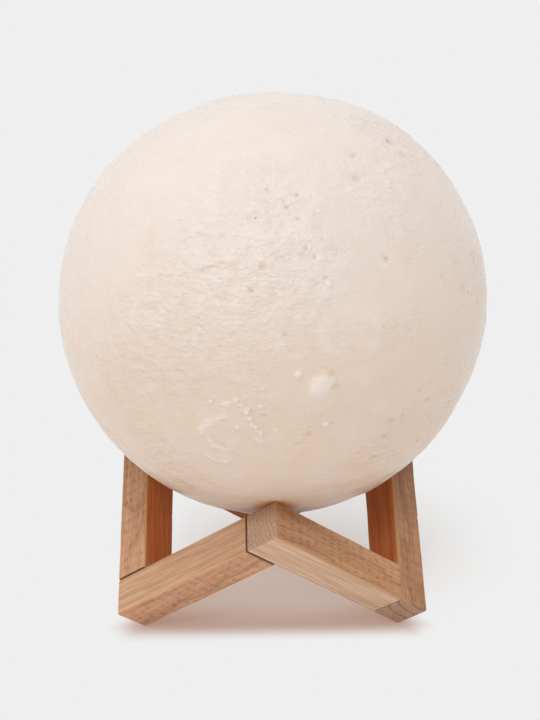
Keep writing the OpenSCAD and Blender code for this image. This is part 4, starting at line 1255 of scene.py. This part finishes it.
def dowel_tree(material):
    """Geometry nodes for the stand's dowels: one fluted rod with eased ends, set in a low
    and a high joint, and that pair set three times round the ring."""
    tree, given = new_tree("Fluted dowels", (
        ("Diameter", "NodeSocketFloat", "Diameter of a dowel"),
        ("Length", "NodeSocketFloat", "Length of a dowel"),
        ("Flutes", "NodeSocketInt", "Grooves along a dowel"),
        ("Flute depth", "NodeSocketFloat", "Depth of a groove"),
    ))
    radius = add(tree, "ShaderNodeMath", "MULTIPLY", (given["Diameter"], 0.5))
    inner = add(tree, "ShaderNodeMath", "SUBTRACT", (radius, given["Flute depth"]))
    section = add(
        tree, "GeometryNodeCurveStar", None,
        {"Points": given["Flutes"], "Inner Radius": inner, "Outer Radius": radius},
    )
    half = add(tree, "ShaderNodeMath", "MULTIPLY", (given["Length"], 0.5))
    back = add(tree, "ShaderNodeMath", "MULTIPLY", (half, -1.0))
    start = add(tree, "ShaderNodeCombineXYZ", None, {0: back})
    end = add(tree, "ShaderNodeCombineXYZ", None, {0: half})
    line = add(tree, "GeometryNodeCurvePrimitiveLine", None, {"Start": start, "End": end})
    line = add(tree, "GeometryNodeResampleCurve", None, {"Curve": line, "Count": 15})
    # The rod narrows towards both ends, as a dowel's chamfers do
    along = add(tree, "GeometryNodeSplineParameter").outputs["Factor"]
    middle = add(tree, "ShaderNodeMath", "SUBTRACT", (along, 0.5))
    middle = add(tree, "ShaderNodeMath", "ABSOLUTE", {0: middle})
    narrow = add(tree, "ShaderNodeMapRange", None, (middle, 0.42, 0.5, 1.0, 0.8))
    rod = add(
        tree, "GeometryNodeCurveToMesh", None,
        {"Curve": line, "Profile Curve": section.outputs["Curve"], "Scale": narrow, "Fill Caps": True},
    )
    pair = add(tree, "GeometryNodeJoinGeometry")
    joint = Matrix.Translation((BAR_L + GLUE_LINE / 2, BAR_SIDE / 2, BAR_SIDE / 2))
    for high in (False, True):
        place = bar_place(0, high) @ joint
        set_rod = add(
            tree, "GeometryNodeTransform", None,
            {"Geometry": rod, "Translation": place.to_translation(), "Rotation": place.to_euler()},
        )
        tree.links.new(set_rod.outputs[0], pair.inputs[0])
    thirds = add(tree, "GeometryNodePoints", None, {"Count": 3})
    index = add(tree, "GeometryNodeInputIndex")
    turn = add(tree, "ShaderNodeMath", "MULTIPLY", (index, math.radians(120)))
    spin = add(tree, "ShaderNodeCombineXYZ", None, {2: turn})
    ring = add(
        tree, "GeometryNodeInstanceOnPoints", None,
        {"Points": thirds, "Instance": pair, "Rotation": spin},
    )
    return finish_tree(tree, ring, material)


def place_tree(material):
    """Geometry nodes that set one shape at each of the mesh's points, turned about Z by
    the point's own angle."""
    tree, given = new_tree("Set at places", (
        ("Shape", "NodeSocketObject", "The object that is set at each place"),
    ))
    shape = add(
        tree, "GeometryNodeObjectInfo", {"transform_space": "ORIGINAL"},
        {"Object": given["Shape"], "As Instance": True},
    )
    angle = add(tree, "GeometryNodeInputNamedAttribute", {"data_type": "FLOAT"}, {"Name": "turn"})
    spin = add(tree, "ShaderNodeCombineXYZ", None, {2: angle})
    copies = add(
        tree, "GeometryNodeInstanceOnPoints", None,
        {"Points": given["Geometry"], "Instance": shape.outputs["Geometry"], "Rotation": spin},
    )
    return finish_tree(tree, copies, material)


def set_at(places, mesh, material):
    """The mesh set at each place: a point and an angle in degrees."""
    shape = draft("shape", mesh)
    spots = bpy.data.meshes.new("places")
    spots.from_pydata([spot for spot, angle in places], [], [])
    turns = spots.attributes.new("turn", "FLOAT", "POINT").data
    turns.foreach_set("value", [math.radians(angle) for spot, angle in places])
    item = draft("places", spots)
    copies = item.modifiers.new("copies", "NODES")
    copies.node_group = place_tree(material)
    set_inputs(copies, {"Shape": shape})
    result = evaluated(item)
    bpy.data.objects.remove(shape)
    bpy.data.meshes.remove(mesh)
    return result


def light_chip_tree(case, gel):
    """Geometry nodes for the light chips: a white case with a domed gel window, repeated
    round a ring."""
    tree, given = new_tree("Ring of light chips", (
        ("Chips", "NodeSocketInt", "Light chips in the ring"),
        ("Ring radius", "NodeSocketFloat", "Radius of the ring"),
        ("Chip size", "NodeSocketFloat", "Side of a chip"),
        ("Chip height", "NodeSocketFloat", "Height of a chip"),
        ("Board top", "NodeSocketFloat", "Height of the board that carries them"),
    ))
    case_h = add(tree, "ShaderNodeMath", "MULTIPLY", (given["Chip height"], 0.72))
    box_size = add(
        tree, "ShaderNodeCombineXYZ", None, (given["Chip size"], given["Chip size"], case_h)
    )
    box = add(tree, "GeometryNodeMeshCube", None, {"Size": box_size})
    half_h = add(tree, "ShaderNodeMath", "MULTIPLY", (case_h, 0.5))
    lift = add(tree, "ShaderNodeCombineXYZ", None, {2: half_h})
    box = add(tree, "GeometryNodeTransform", None, {"Geometry": box, "Translation": lift})
    box = add(tree, "GeometryNodeSetMaterial", None, {"Geometry": box, "Material": case})
    gel_r = add(tree, "ShaderNodeMath", "MULTIPLY", (given["Chip size"], 0.4))
    ball = add(tree, "GeometryNodeMeshUVSphere", None, {"Segments": 24, "Rings": 12, "Radius": gel_r})
    gel_at = add(tree, "ShaderNodeMath", "MULTIPLY", (given["Chip height"], 0.68))
    seat = add(tree, "ShaderNodeCombineXYZ", None, {2: gel_at})
    gel_h = add(tree, "ShaderNodeMath", "MULTIPLY", (given["Chip height"], 0.32))
    flat = add(tree, "ShaderNodeMath", "DIVIDE", (gel_h, gel_r))
    squash = add(tree, "ShaderNodeCombineXYZ", None, (1.0, 1.0, flat))
    ball = add(
        tree, "GeometryNodeTransform", None, {"Geometry": ball, "Translation": seat, "Scale": squash}
    )
    chip = add(tree, "GeometryNodeJoinGeometry")
    tree.links.new(box.outputs[0], chip.inputs[0])
    tree.links.new(ball.outputs[0], chip.inputs[0])
    index = add(tree, "GeometryNodeInputIndex")
    full = add(tree, "ShaderNodeMath", "DIVIDE", (2 * math.pi, given["Chips"]))
    angle = add(tree, "ShaderNodeMath", "MULTIPLY", (index, full))
    cos = add(tree, "ShaderNodeMath", "COSINE", {0: angle})
    sin = add(tree, "ShaderNodeMath", "SINE", {0: angle})
    x = add(tree, "ShaderNodeMath", "MULTIPLY", (cos, given["Ring radius"]))
    y = add(tree, "ShaderNodeMath", "MULTIPLY", (sin, given["Ring radius"]))
    spot = add(tree, "ShaderNodeCombineXYZ", None, (x, y, given["Board top"]))
    points = add(tree, "GeometryNodePoints", None, {"Count": given["Chips"], "Position": spot})
    spin = add(tree, "ShaderNodeCombineXYZ", None, {2: angle})
    ring = add(
        tree, "GeometryNodeInstanceOnPoints", None,
        {"Points": points, "Instance": chip, "Rotation": spin},
    )
    real = add(tree, "GeometryNodeRealizeInstances", None, {"Geometry": ring})
    # What is round or has no material yet is gel
    bare = add(tree, "GeometryNodeMaterialSelection", None, {"Material": case})
    is_gel = add(tree, "FunctionNodeBooleanMath", "NOT", {0: bare})
    done = add(
        tree, "GeometryNodeSetMaterial", None, {"Geometry": real, "Selection": is_gel, "Material": gel}
    )
    add(tree, "NodeGroupOutput", None, {"Geometry": done})
    return tree


def pan_screw(shank_r, shank_l, head_r, head_h, pitch):
    """A pan-head screw, head down: a rounded head with a cross recess, and a real thread."""
    around, per_turn = 24, 8
    bm = bmesh.new()
    head = [
        (head_r * 0.7, 0), (head_r * 0.9, head_h * 0.12), (head_r, head_h * 0.4),
        (head_r, head_h), (shank_r * 0.8, head_h),
    ]
    rings = []
    for r, z in head:
        rings.append([
            bm.verts.new((r * math.cos(a), r * math.sin(a), z))
            for a in (2 * math.pi * i / around for i in range(around))
        ])
    rows = int(shank_l / pitch * per_turn)
    for row in range(1, rows + 1):
        z = shank_l * row / rows
        taper = min(1, (shank_l - z) / (1.5 * pitch) + 0.25)
        ring = []
        for i in range(around):
            phase = (z / pitch - i / around) % 1
            ridge = max(0, 1 - abs(phase - 0.5) * 3.4)
            r = shank_r * (0.78 + 0.22 * ridge) * taper
            a = 2 * math.pi * i / around
            ring.append(bm.verts.new((r * math.cos(a), r * math.sin(a), head_h + z)))
        rings.append(ring)
    for a, b in zip(rings, rings[1:]):
        join_rings(bm, a, b)
    bm.faces.new(rings[0])
    bm.faces.new(rings[-1])
    bmesh.ops.recalc_face_normals(bm, faces=bm.faces)
    mesh = bpy.data.meshes.new("screw")
    bm.to_mesh(mesh)
    bm.free()
    bm = bmesh.new()
    for turn in (0, math.pi / 2):
        made = bmesh.ops.create_cube(bm, size=1)["verts"]
        size = Matrix.Diagonal((head_r * 1.15, head_r * 0.26, head_h * 1.1, 1))
        bmesh.ops.transform(bm, matrix=Matrix.Rotation(turn, 4, "Z") @ size, verts=made)
        for v in made:
            if v.co.z > 0:
                v.co.x, v.co.y = v.co.x * 0.55, v.co.y * 0.55
    cross = bpy.data.meshes.new("cross")
    bm.to_mesh(cross)
    bm.free()
    item, cutter = draft("screw", mesh), draft("cross", cross)
    cut = item.modifiers.new("recess", "BOOLEAN")
    cut.operation, cut.solver, cut.object, cut.use_self = "DIFFERENCE", "EXACT", cutter, True
    result = evaluated(item)
    bpy.data.objects.remove(cutter)
    bpy.data.meshes.remove(cross)
    return result


# Operators


class MOONLAMP_OT_moon(Operator):
    """Make the moulded moon with its craters, wrinkles and marks"""

    bl_idname = "moonlamp.moon"
    bl_label = "Make the moon"

    def execute(self, context):
        settings = context.scene.moonlamp_moon
        material = vinyl_skin(settings)
        mesh, mouth_angle = moon_shell_mesh()
        points = np.empty(len(mesh.vertices) * 3)
        mesh.vertices.foreach_get("co", points)
        out = points.reshape(-1, 3) - np.array(MOON_CENTRE)
        far = np.linalg.norm(out, axis=1)
        directions = out / far[:, None]
        down = np.arccos(np.clip(-directions[:, 2], -1, 1))
        # The relief begins at the opening and is whole 0.07 radians from it
        skin = (far > MOON_R - 0.01 * MM) * smooth_step((down - mouth_angle) / 0.07)
        for name, values in (("marks", mark_heights(directions) * MM), ("skin", skin)):
            mesh.attributes.new(name, "FLOAT", "POINT").data.foreach_set("value", values)
        item = draft("moon", mesh)
        relief = item.modifiers.new("relief", "NODES")
        relief.node_group = relief_tree(material)
        set_inputs(relief, {
            "Crater places": settings.crater_places, "Smallest crater": settings.small_crater,
            "Largest crater": settings.large_crater, "Crater slope": settings.crater_slope,
            "Swell": settings.swell, "Lumps": settings.lumps, "Wrinkles": settings.wrinkles,
            "Marks": settings.marks, "Sag": settings.sag,
            "Moon radius": MOON_R, "Centre height": MOON_CENTRE.z,
        })
        mesh = evaluated(item)
        shade(mesh, 40)
        piece("moon_skin", mesh, "moon", "moon_skin", "moon_shell")
        return {"FINISHED"}


class MOONLAMP_OT_bars(Operator):
    """Make the six eased beech bars of the stand"""

    bl_idname = "moonlamp.bars"
    bl_label = "Make the bars"

    def execute(self, context):
        settings = context.scene.moonlamp_stand
        # Place in the ring; then the axis towards the heart, the width of a year's growth and
        # the distance of the heart in millimetres, how far painted shade darkens its high end,
        # and the levels of painted light and shade, with the bar's own tint, of its two pairs of faces
        bars = (
            ("front_left", 0, False, ("z", 2.6, 38, 0.3, (0.9, 0.9, 0.9), (1.0, 0.9, 0.9))),
            ("right", 1, False, ("y", 4.6, 14, 1.2, (0.77, 0.69, 0.62), (0.86, 0.86, 0.86))),
            ("back_left", 2, False, ("z", 3.0, 30, 0.6, (0.9, 0.88, 0.86), (0.85, 0.8, 0.78))),
            ("front_right", 0, True, ("z", 1.6, 60, 0.45, (1.1, 1.25, 1.45), (0.91, 0.83, 0.75))),
            ("back_right", 1, True, ("y", 2.4, 45, 0.6, (0.85, 0.82, 0.8), (0.8, 0.76, 0.73))),
            ("left", 2, True, ("z", 2.2, 50, 1.0, (0.92, 0.92, 0.92), (0.9, 0.84, 0.8))),
        )
        for seed, (name, k, high, growth) in enumerate(bars, 1):
            place = bar_place(k, high)
            mesh = drilled(eased_bar(settings.arris, seed))
            mesh.materials.clear()
            side = beech(f"Steamed beech, planed, {name}", settings, place, seed, growth)
            end = beech(f"Steamed beech, sawn end, {name}", settings, place, seed, growth, True)
            mesh.materials.append(side)
            mesh.materials.append(end)
            for face in mesh.polygons:
                face.material_index = int(abs(face.normal.x) > 0.7)
            mesh.transform(place)
            shade(mesh, 40)
            piece(f"beech_bar_{name}", mesh, "stand", "beech", f"{name}_bar")
        return {"FINISHED"}


class MOONLAMP_OT_dowels(Operator):
    """Make the fluted dowels inside the stand's six joints"""

    bl_idname = "moonlamp.dowels"
    bl_label = "Make the dowels"

    def execute(self, context):
        settings = context.scene.moonlamp_dowels
        item = draft("dowels", bpy.data.meshes.new("dowels"))
        rods = item.modifiers.new("dowels", "NODES")
        rods.node_group = dowel_tree(turned_birch(settings))
        set_inputs(rods, {
            "Diameter": DOWEL_D, "Length": DOWEL_L, "Flutes": settings.flutes,
            "Flute depth": settings.flute,
        })
        mesh = evaluated(item)
        shade(mesh, 20)
        piece("fluted_dowels", mesh, "stand", "dowel_beech", "stand_dowels")
        return {"FINISHED"}


class MOONLAMP_OT_base(Operator):
    """Dress the moulded base and its push button"""

    bl_idname = "moonlamp.base"
    bl_label = "Dress the base"

    def execute(self, context):
        settings = context.scene.moonlamp_base
        cap = moulded("White ABS, fine spark texture", settings.cap, 0.5, 0.35, 0.03)
        dress("base_cap", "base_moulding", cap, settings.break_edge)
        button = moulded("Ivory ABS, polished", settings.button, 0.24, 1.4, 0.006)
        dress("power_button", "push_button", button, settings.break_edge)
        return {"FINISHED"}


class MOONLAMP_OT_screws(Operator):
    """Make the threaded screws that hold the lamp column and the board"""

    bl_idname = "moonlamp.screws"
    bl_label = "Make the screws"

    def execute(self, context):
        settings = context.scene.moonlamp_screws
        zinc = plated("Zinc plating, bright, tumbled", settings.zinc, 0.34, 0.15)
        low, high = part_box("column_screws")
        angles = (40, 140, 210, 330)
        ring_r, head_r, head_h = 13.8 * MM, 2.1 * MM, 1.1 * MM
        shank_l = high.z - low.z - head_h
        places = [
            ((ring_r * math.cos(math.radians(a)), ring_r * math.sin(math.radians(a)), low.z), a)
            for a in angles
        ]
        mesh = set_at(places, pan_screw(1 * MM, shank_l, head_r, head_h, settings.pitch), zinc)
        shade(mesh, 30)
        piece("threaded_column_screws", mesh, "moon", "zinc_steel", "column_screws")

        low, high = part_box("board_screws")
        post_x, post_y = 10 * MM, 1 * MM
        head_r, head_h = high.x - post_x, 1.1 * MM
        shank_l = high.z - low.z - head_h
        screw = pan_screw(0.8 * MM, shank_l, head_r, head_h, settings.pitch * 0.85)
        over = Matrix.Translation((0, 0, high.z - low.z)) @ Matrix.Rotation(math.pi, 4, "X")
        screw.transform(over)
        places = [((side * post_x, post_y, low.z), 35 * side) for side in (-1, 1)]
        mesh = set_at(places, screw, zinc)
        shade(mesh, 30)
        piece("threaded_board_screws", mesh, "moon", "zinc_steel", "board_screws")
        return {"FINISHED"}


class MOONLAMP_OT_board(Operator):
    """Dress the circuit board, what is on it, the socket and the charge light"""

    bl_idname = "moonlamp.board"
    bl_label = "Dress the circuit board"

    def execute(self, context):
        settings = context.scene.moonlamp_board
        dress("control_board", "board_with_traces", solder_mask(settings), 0.05 * MM)
        epoxy = moulded("Black epoxy, matt moulding", linear("#1d1d20"), 0.55, 0.12, 0.012)
        dress("driver_chips", "driver_packages", epoxy, 0.12 * MM)
        dress("tact_switch", "switch_housing", epoxy, 0.12 * MM)
        ferrite = sintered("Sintered ferrite", linear("#28282b"), linear("#47474c"), 0.6)
        dress("power_coil", "wound_coil", ferrite, 0.2 * MM)
        ceramic = sintered("Fired capacitor ceramic", linear("#a68559"), linear("#8c6d47"), 0.45)
        dress("capacitors", "ceramic_capacitors", ceramic, 0.15 * MM)
        nickel = plated("Nickel on drawn sheet", linear("#c4c3bf"), 0.28, 0.1)
        dress("usb_socket", "socket_shell", nickel, 0.06 * MM)
        dress("charge_rod", "light_pipe", clear_acrylic(), 0.15 * MM)
        gel = sintered("Phosphor gel, charge light", linear("#e2cd78"), linear("#d5b650"), 0.35)
        dress("charge_led", "charge_light", gel, 0.08 * MM)
        return {"FINISHED"}


class MOONLAMP_OT_lamp(Operator):
    """Dress the column, the battery, the leads and the light with its diffuser"""

    bl_idname = "moonlamp.lamp"
    bl_label = "Dress the lamp column"

    def execute(self, context):
        settings = context.scene.moonlamp_lamp
        column = moulded("White ABS, satin inside", linear("#efece6"), 0.45, 0.9, 0.015)
        dress("lamp_column", "ribbed_column", column, 0.15 * MM)
        self.make_battery(settings)
        dress("battery_pads", "foam_pads", cell_foam(), 0.3 * MM)
        red = moulded("Red silicone insulation", linear("#b3261e"), 0.42, 0.3, 0.01)
        dress("battery_leads", "red_leads", red, 0.05 * MM)
        white = moulded("White silicone insulation", linear("#e9e6dc"), 0.42, 0.3, 0.01)
        dress("light_leads", "white_leads", white, 0.05 * MM)
        board = moulded("White solder mask on aluminium", linear("#f2f2ef"), 0.3, 0.6, 0.01)
        dress("light_board", "light_plate", board, 0.06 * MM)
        dress("diffuser_dome", "milky_dome", milky_diffuser(), 0.1 * MM)

        case = moulded("Chip case, white", linear("#efeee9"), 0.4, 0.2, 0.008)
        gel = sintered("Phosphor gel", linear("#e6c65c"), linear("#dcb341"), 0.3)
        item = draft("chips", bpy.data.meshes.new("chips"))
        chips = item.modifiers.new("chips", "NODES")
        chips.node_group = light_chip_tree(case, gel)
        set_inputs(chips, {
            "Chips": settings.chips, "Ring radius": settings.chip_ring,
            "Chip size": settings.chip_size, "Chip height": settings.chip_height,
            "Board top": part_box("light_chips")[0].z,
        })
        mesh = evaluated(item)
        shade(mesh, 30)
        piece("ring_of_light_chips", mesh, "moon", "light_chip", "light_chips")
        return {"FINISHED"}

    def make_battery(self, settings):
        """A round cell in a shrink sleeve whose ends fold over its rims."""
        low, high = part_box("battery")
        r, h = high.x, high.z - low.z
        film = 0.15 * MM
        profile = [
            (0, 0), (r - 2.6 * MM, 0), (r - 0.6 * MM, 0),
            (r - 0.15 * MM, 0.15 * MM), (r, 0.7 * MM), (r - film, 1.6 * MM), (r - film, 3 * MM),
            (r - film, h - 4.6 * MM), (r - 0.75 * MM, h - 4 * MM), (r - 0.75 * MM, h - 3.4 * MM),
            (r - film, h - 2.8 * MM), (r - film, h - 1 * MM), (r, h - 0.5 * MM),
            (r - 0.4 * MM, h - 0.05 * MM), (r - 1.6 * MM, h - 0.05 * MM),
            (r - 1.9 * MM, h - 0.4 * MM), (3.2 * MM, h - 0.4 * MM), (3.0 * MM, h),
            (0, h),
        ]
        sleeve = moulded("Shrink sleeve, gloss film", settings.sleeve, 0.26, 2.2, 0.03)
        mesh = lathe(profile, sleeve, 72, Matrix.Translation((0, 0, low.z)))
        nickel = plated("Nickel cell end", linear("#cfcdc8"), 0.3, 0.2)
        mesh.materials.append(nickel)
        for face in mesh.polygons:
            away = math.hypot(face.center.x, face.center.y)
            face.material_index = int(away < r - 1.8 * MM)
        shade(mesh, 25)
        piece("sleeved_cell", mesh, "moon", "battery_sleeve", "battery")


class MOONLAMP_OT_stage(Operator):
    """Set the floor, the light and the camera"""

    bl_idname = "moonlamp.stage"
    bl_label = "Set the stage"

    def execute(self, context):
        settings = context.scene.moonlamp_stage
        bm = bmesh.new()
        bmesh.ops.create_grid(bm, x_segments=4, y_segments=4, size=12)
        mesh = bpy.data.meshes.new("floor")
        bm.to_mesh(mesh)
        bm.free()
        floor = draft("floor", mesh)
        mesh.materials.append(self.paper(settings))
        self.make_world(context, settings)
        # Name, strength, spread in degrees, the direction the light comes from, and its tint
        lamps = (
            ("softbox", settings.softbox, 12, (-0.29, -0.706, 0.64), (0.97, 1.0, 1.04)),
            ("top_light", settings.top_light, 80, (-0.6, -0.2, 0.78), (0.97, 1.0, 1.04)),
        )
        for name, strength, spread, towards, tint in lamps:
            lamp = bpy.data.lights.new(name, "SUN")
            lamp.energy, lamp.angle, lamp.color = strength, math.radians(spread), tint
            sun = bpy.data.objects.new(name, lamp)
            sun.rotation_euler = Vector(towards).to_track_quat("Z", "Y").to_euler()
            context.scene.collection.objects.link(sun)

        # The frame's longer side and the focal length are in pixels
        camera_data = bpy.data.cameras.new("camera")
        sensor_mm, frame_px, focal_px = 36, 720, 1503.6
        camera_data.sensor_width = sensor_mm
        camera_data.lens = focal_px * sensor_mm / frame_px
        camera_data.clip_end = 50
        camera = bpy.data.objects.new("camera", camera_data)
        context.scene.collection.objects.link(camera)
        yaw, rise, roll = math.radians(1.925), math.radians(18.896), math.radians(0.255)
        target, distance = Vector((-0.275, 0, 92.689)) * MM, 542.845 * MM
        forward = Vector((0, math.cos(rise), -math.sin(rise)))
        spot = target - forward * distance
        turn = Matrix.Rotation(-yaw, 4, "Z")
        aim = Matrix.Rotation(math.pi / 2 - rise, 4, "X") @ Matrix.Rotation(roll, 4, "Z")
        camera.matrix_world = turn @ Matrix.Translation(spot) @ aim
        context.scene.camera = camera
        context.scene.view_settings.view_transform = "Standard"
        return {"FINISHED"}

    def paper(self, settings):
        """Pale matt paper that shows the lamp's shadow close to it, and further out runs into the
        even backdrop. Under the lamp the camera sees painted shade in warm colours mixed into it."""
        material, tree = new_material("Pale matt paper")
        place = add(tree, "ShaderNodeTexCoord").outputs["Object"]
        tooth = add(tree, "ShaderNodeTexNoise", None, {"Vector": place, "Scale": 1 / (2 * MM)})
        bump = add(
            tree, "ShaderNodeBump", None, {"Strength": 0.1, "Distance": 0.05 * MM, "Height": tooth}
        )
        paper = add(
            tree, "ShaderNodeBsdfDiffuse", None, {"Color": rgba(settings.backdrop), "Normal": bump}
        )
        even = add(
            tree, "ShaderNodeEmission", None, {"Color": rgba(settings.backdrop), "Strength": 1.0}
        )
        # Painted shade under the lamp, for the camera only: warm colours, darker along the front edge
        depth = add(tree, "ShaderNodeSeparateXYZ", None, {0: place}).outputs[1]
        under = add(tree, "ShaderNodeMapRange", SMOOTH, (depth, -26 * MM, -8 * MM, 0.0, 1.0))
        painted_shade_colour = add(
            tree, "ShaderNodeMix", MIXED,
            {0: under, 6: rgba(settings.warm_shade), 7: rgba(settings.shade)},
        ).outputs[2]
        warm = add(tree, "ShaderNodeEmission", None, {"Color": painted_shade_colour, "Strength": 1.0})
        # How far each point lies outside the triangle of the three feet
        outside = -1.0
        for k in range(3):
            away = Matrix.Rotation(math.radians(120 * k), 3, "Z") @ Vector((0, -1, 0))
            past = add(tree, "ShaderNodeVectorMath", "DOT_PRODUCT", (place, away))
            outside = add(tree, "ShaderNodeMath", "MAXIMUM", (outside, past.outputs["Value"]))
        foot_line, foot_ring = 26.5 * MM, 53 * MM
        middle = add(tree, "ShaderNodeVectorMath", "LENGTH", {0: place})
        past_ring = add(
            tree, "ShaderNodeMath", "SUBTRACT",
            (middle.outputs["Value"], foot_ring - foot_line + 1 * MM),
        )
        outside = add(tree, "ShaderNodeMath", "MAXIMUM", (outside, past_ring))
        far = add(
            tree, "ShaderNodeMapRange", SMOOTH,
            (outside, foot_line, foot_line + settings.shadow_reach, 0.0, 1.0),
        )
        # Behind the lamp its soft shadow reaches further
        behind = add(tree, "ShaderNodeVectorMath", "DISTANCE", (place, Vector((20, 52, 0)) * MM))
        faint = add(
            tree, "ShaderNodeMapRange", SMOOTH, (behind.outputs["Value"], 20 * MM, 88 * MM, 0.35, 1.0)
        )
        far = add(tree, "ShaderNodeMath", "MINIMUM", (far, faint))
        seen = add(tree, "ShaderNodeLightPath").outputs["Is Camera Ray"]
        # The painted shade's share, fading out from 10 to 50 mm behind the middle
        tint = add(tree, "ShaderNodeMapRange", SMOOTH, (depth, 10 * MM, 50 * MM, 0.55, 0.0))
        tinted = add(tree, "ShaderNodeMath", "MULTIPLY", (seen, tint))
        shaded = add(tree, "ShaderNodeMixShader", None, (tinted, paper, warm))
        part = add(tree, "ShaderNodeMath", "MULTIPLY", (far, seen))
        both = add(tree, "ShaderNodeMixShader", None, (part, shaded, even))
        add(tree, "ShaderNodeOutputMaterial", None, {"Surface": both})
        return material

    def make_world(self, context, settings):
        """Soft light from all round, behind a backdrop that the camera, gloss and glass see
        in its own colour."""
        world = bpy.data.worlds.new("Even studio light")
        context.scene.world = world
        world.use_nodes = True
        tree = world.node_tree
        tree.nodes.clear()
        ray = add(tree, "ShaderNodeLightPath").outputs
        seen = add(tree, "ShaderNodeMath", "MAXIMUM", (ray["Is Camera Ray"], ray["Is Glossy Ray"]))
        seen = add(tree, "ShaderNodeMath", "MAXIMUM", (seen, ray["Is Transmission Ray"]))
        # Brightest and coolest overhead, a little to the left, and dim and warm low down
        way = add(tree, "ShaderNodeTexCoord").outputs["Generated"]
        lit_from = Vector((-0.15, -0.07, 0.986)).normalized()
        side = add(tree, "ShaderNodeVectorMath", "DOT_PRODUCT", (way, lit_from))
        level = add(
            tree, "ShaderNodeVectorMath", "MULTIPLY_ADD",
            (side.outputs["Value"], (0.94, 1.06, 1.23), (0.53, 0.442, 0.33)),
        )
        light = add(tree, "ShaderNodeBackground", None, {"Color": level, "Strength": settings.fill})
        back = add(
            tree, "ShaderNodeBackground", None, {"Color": rgba(settings.backdrop), "Strength": 1.0}
        )
        both = add(tree, "ShaderNodeMixShader", None, (seen, light, back))
        add(tree, "ShaderNodeOutputWorld", None, {"Surface": both})


class MOONLAMP_PT_panel(Panel):
    """The lamp's pieces and their sizes"""

    bl_idname = "MOONLAMP_PT_panel"
    bl_label = "Moon Lamp"
    bl_space_type = "VIEW_3D"
    bl_region_type = "UI"
    bl_category = "Moon Lamp"

    def draw(self, context):
        scene = context.scene
        for operator, group, kind in ROWS:
            box = self.layout.box()
            box.operator(operator.bl_idname)
            settings = getattr(scene, group)
            for name in settings.bl_rna.properties.keys():
                if name not in ("rna_type", "name"):
                    box.prop(settings, name)


# Each group of pieces: its operator, the scene's name for its settings, and their type
ROWS = (
    (MOONLAMP_OT_moon, "moonlamp_moon", MoonSettings),
    (MOONLAMP_OT_bars, "moonlamp_stand", StandSettings),
    (MOONLAMP_OT_dowels, "moonlamp_dowels", DowelSettings),
    (MOONLAMP_OT_base, "moonlamp_base", BaseSettings),
    (MOONLAMP_OT_screws, "moonlamp_screws", ScrewSettings),
    (MOONLAMP_OT_board, "moonlamp_board", BoardSettings),
    (MOONLAMP_OT_lamp, "moonlamp_lamp", LampSettings),
    (MOONLAMP_OT_stage, "moonlamp_stage", StageSettings),
)


def register():
    for operator, group, kind in ROWS:
        bpy.utils.register_class(kind)
        bpy.utils.register_class(operator)
        setattr(bpy.types.Scene, group, PointerProperty(type=kind))
    bpy.utils.register_class(MOONLAMP_PT_panel)


def unregister():
    bpy.utils.unregister_class(MOONLAMP_PT_panel)
    for operator, group, kind in reversed(ROWS):
        delattr(bpy.types.Scene, group)
        bpy.utils.unregister_class(operator)
        bpy.utils.unregister_class(kind)


def main():
    register()
    bpy.ops.moonlamp.stage()
    bpy.ops.moonlamp.moon()
    bpy.ops.moonlamp.bars()
    bpy.ops.moonlamp.dowels()
    bpy.ops.moonlamp.base()
    bpy.ops.moonlamp.screws()
    bpy.ops.moonlamp.board()
    bpy.ops.moonlamp.lamp()


if __name__ == "__main__":
    main()
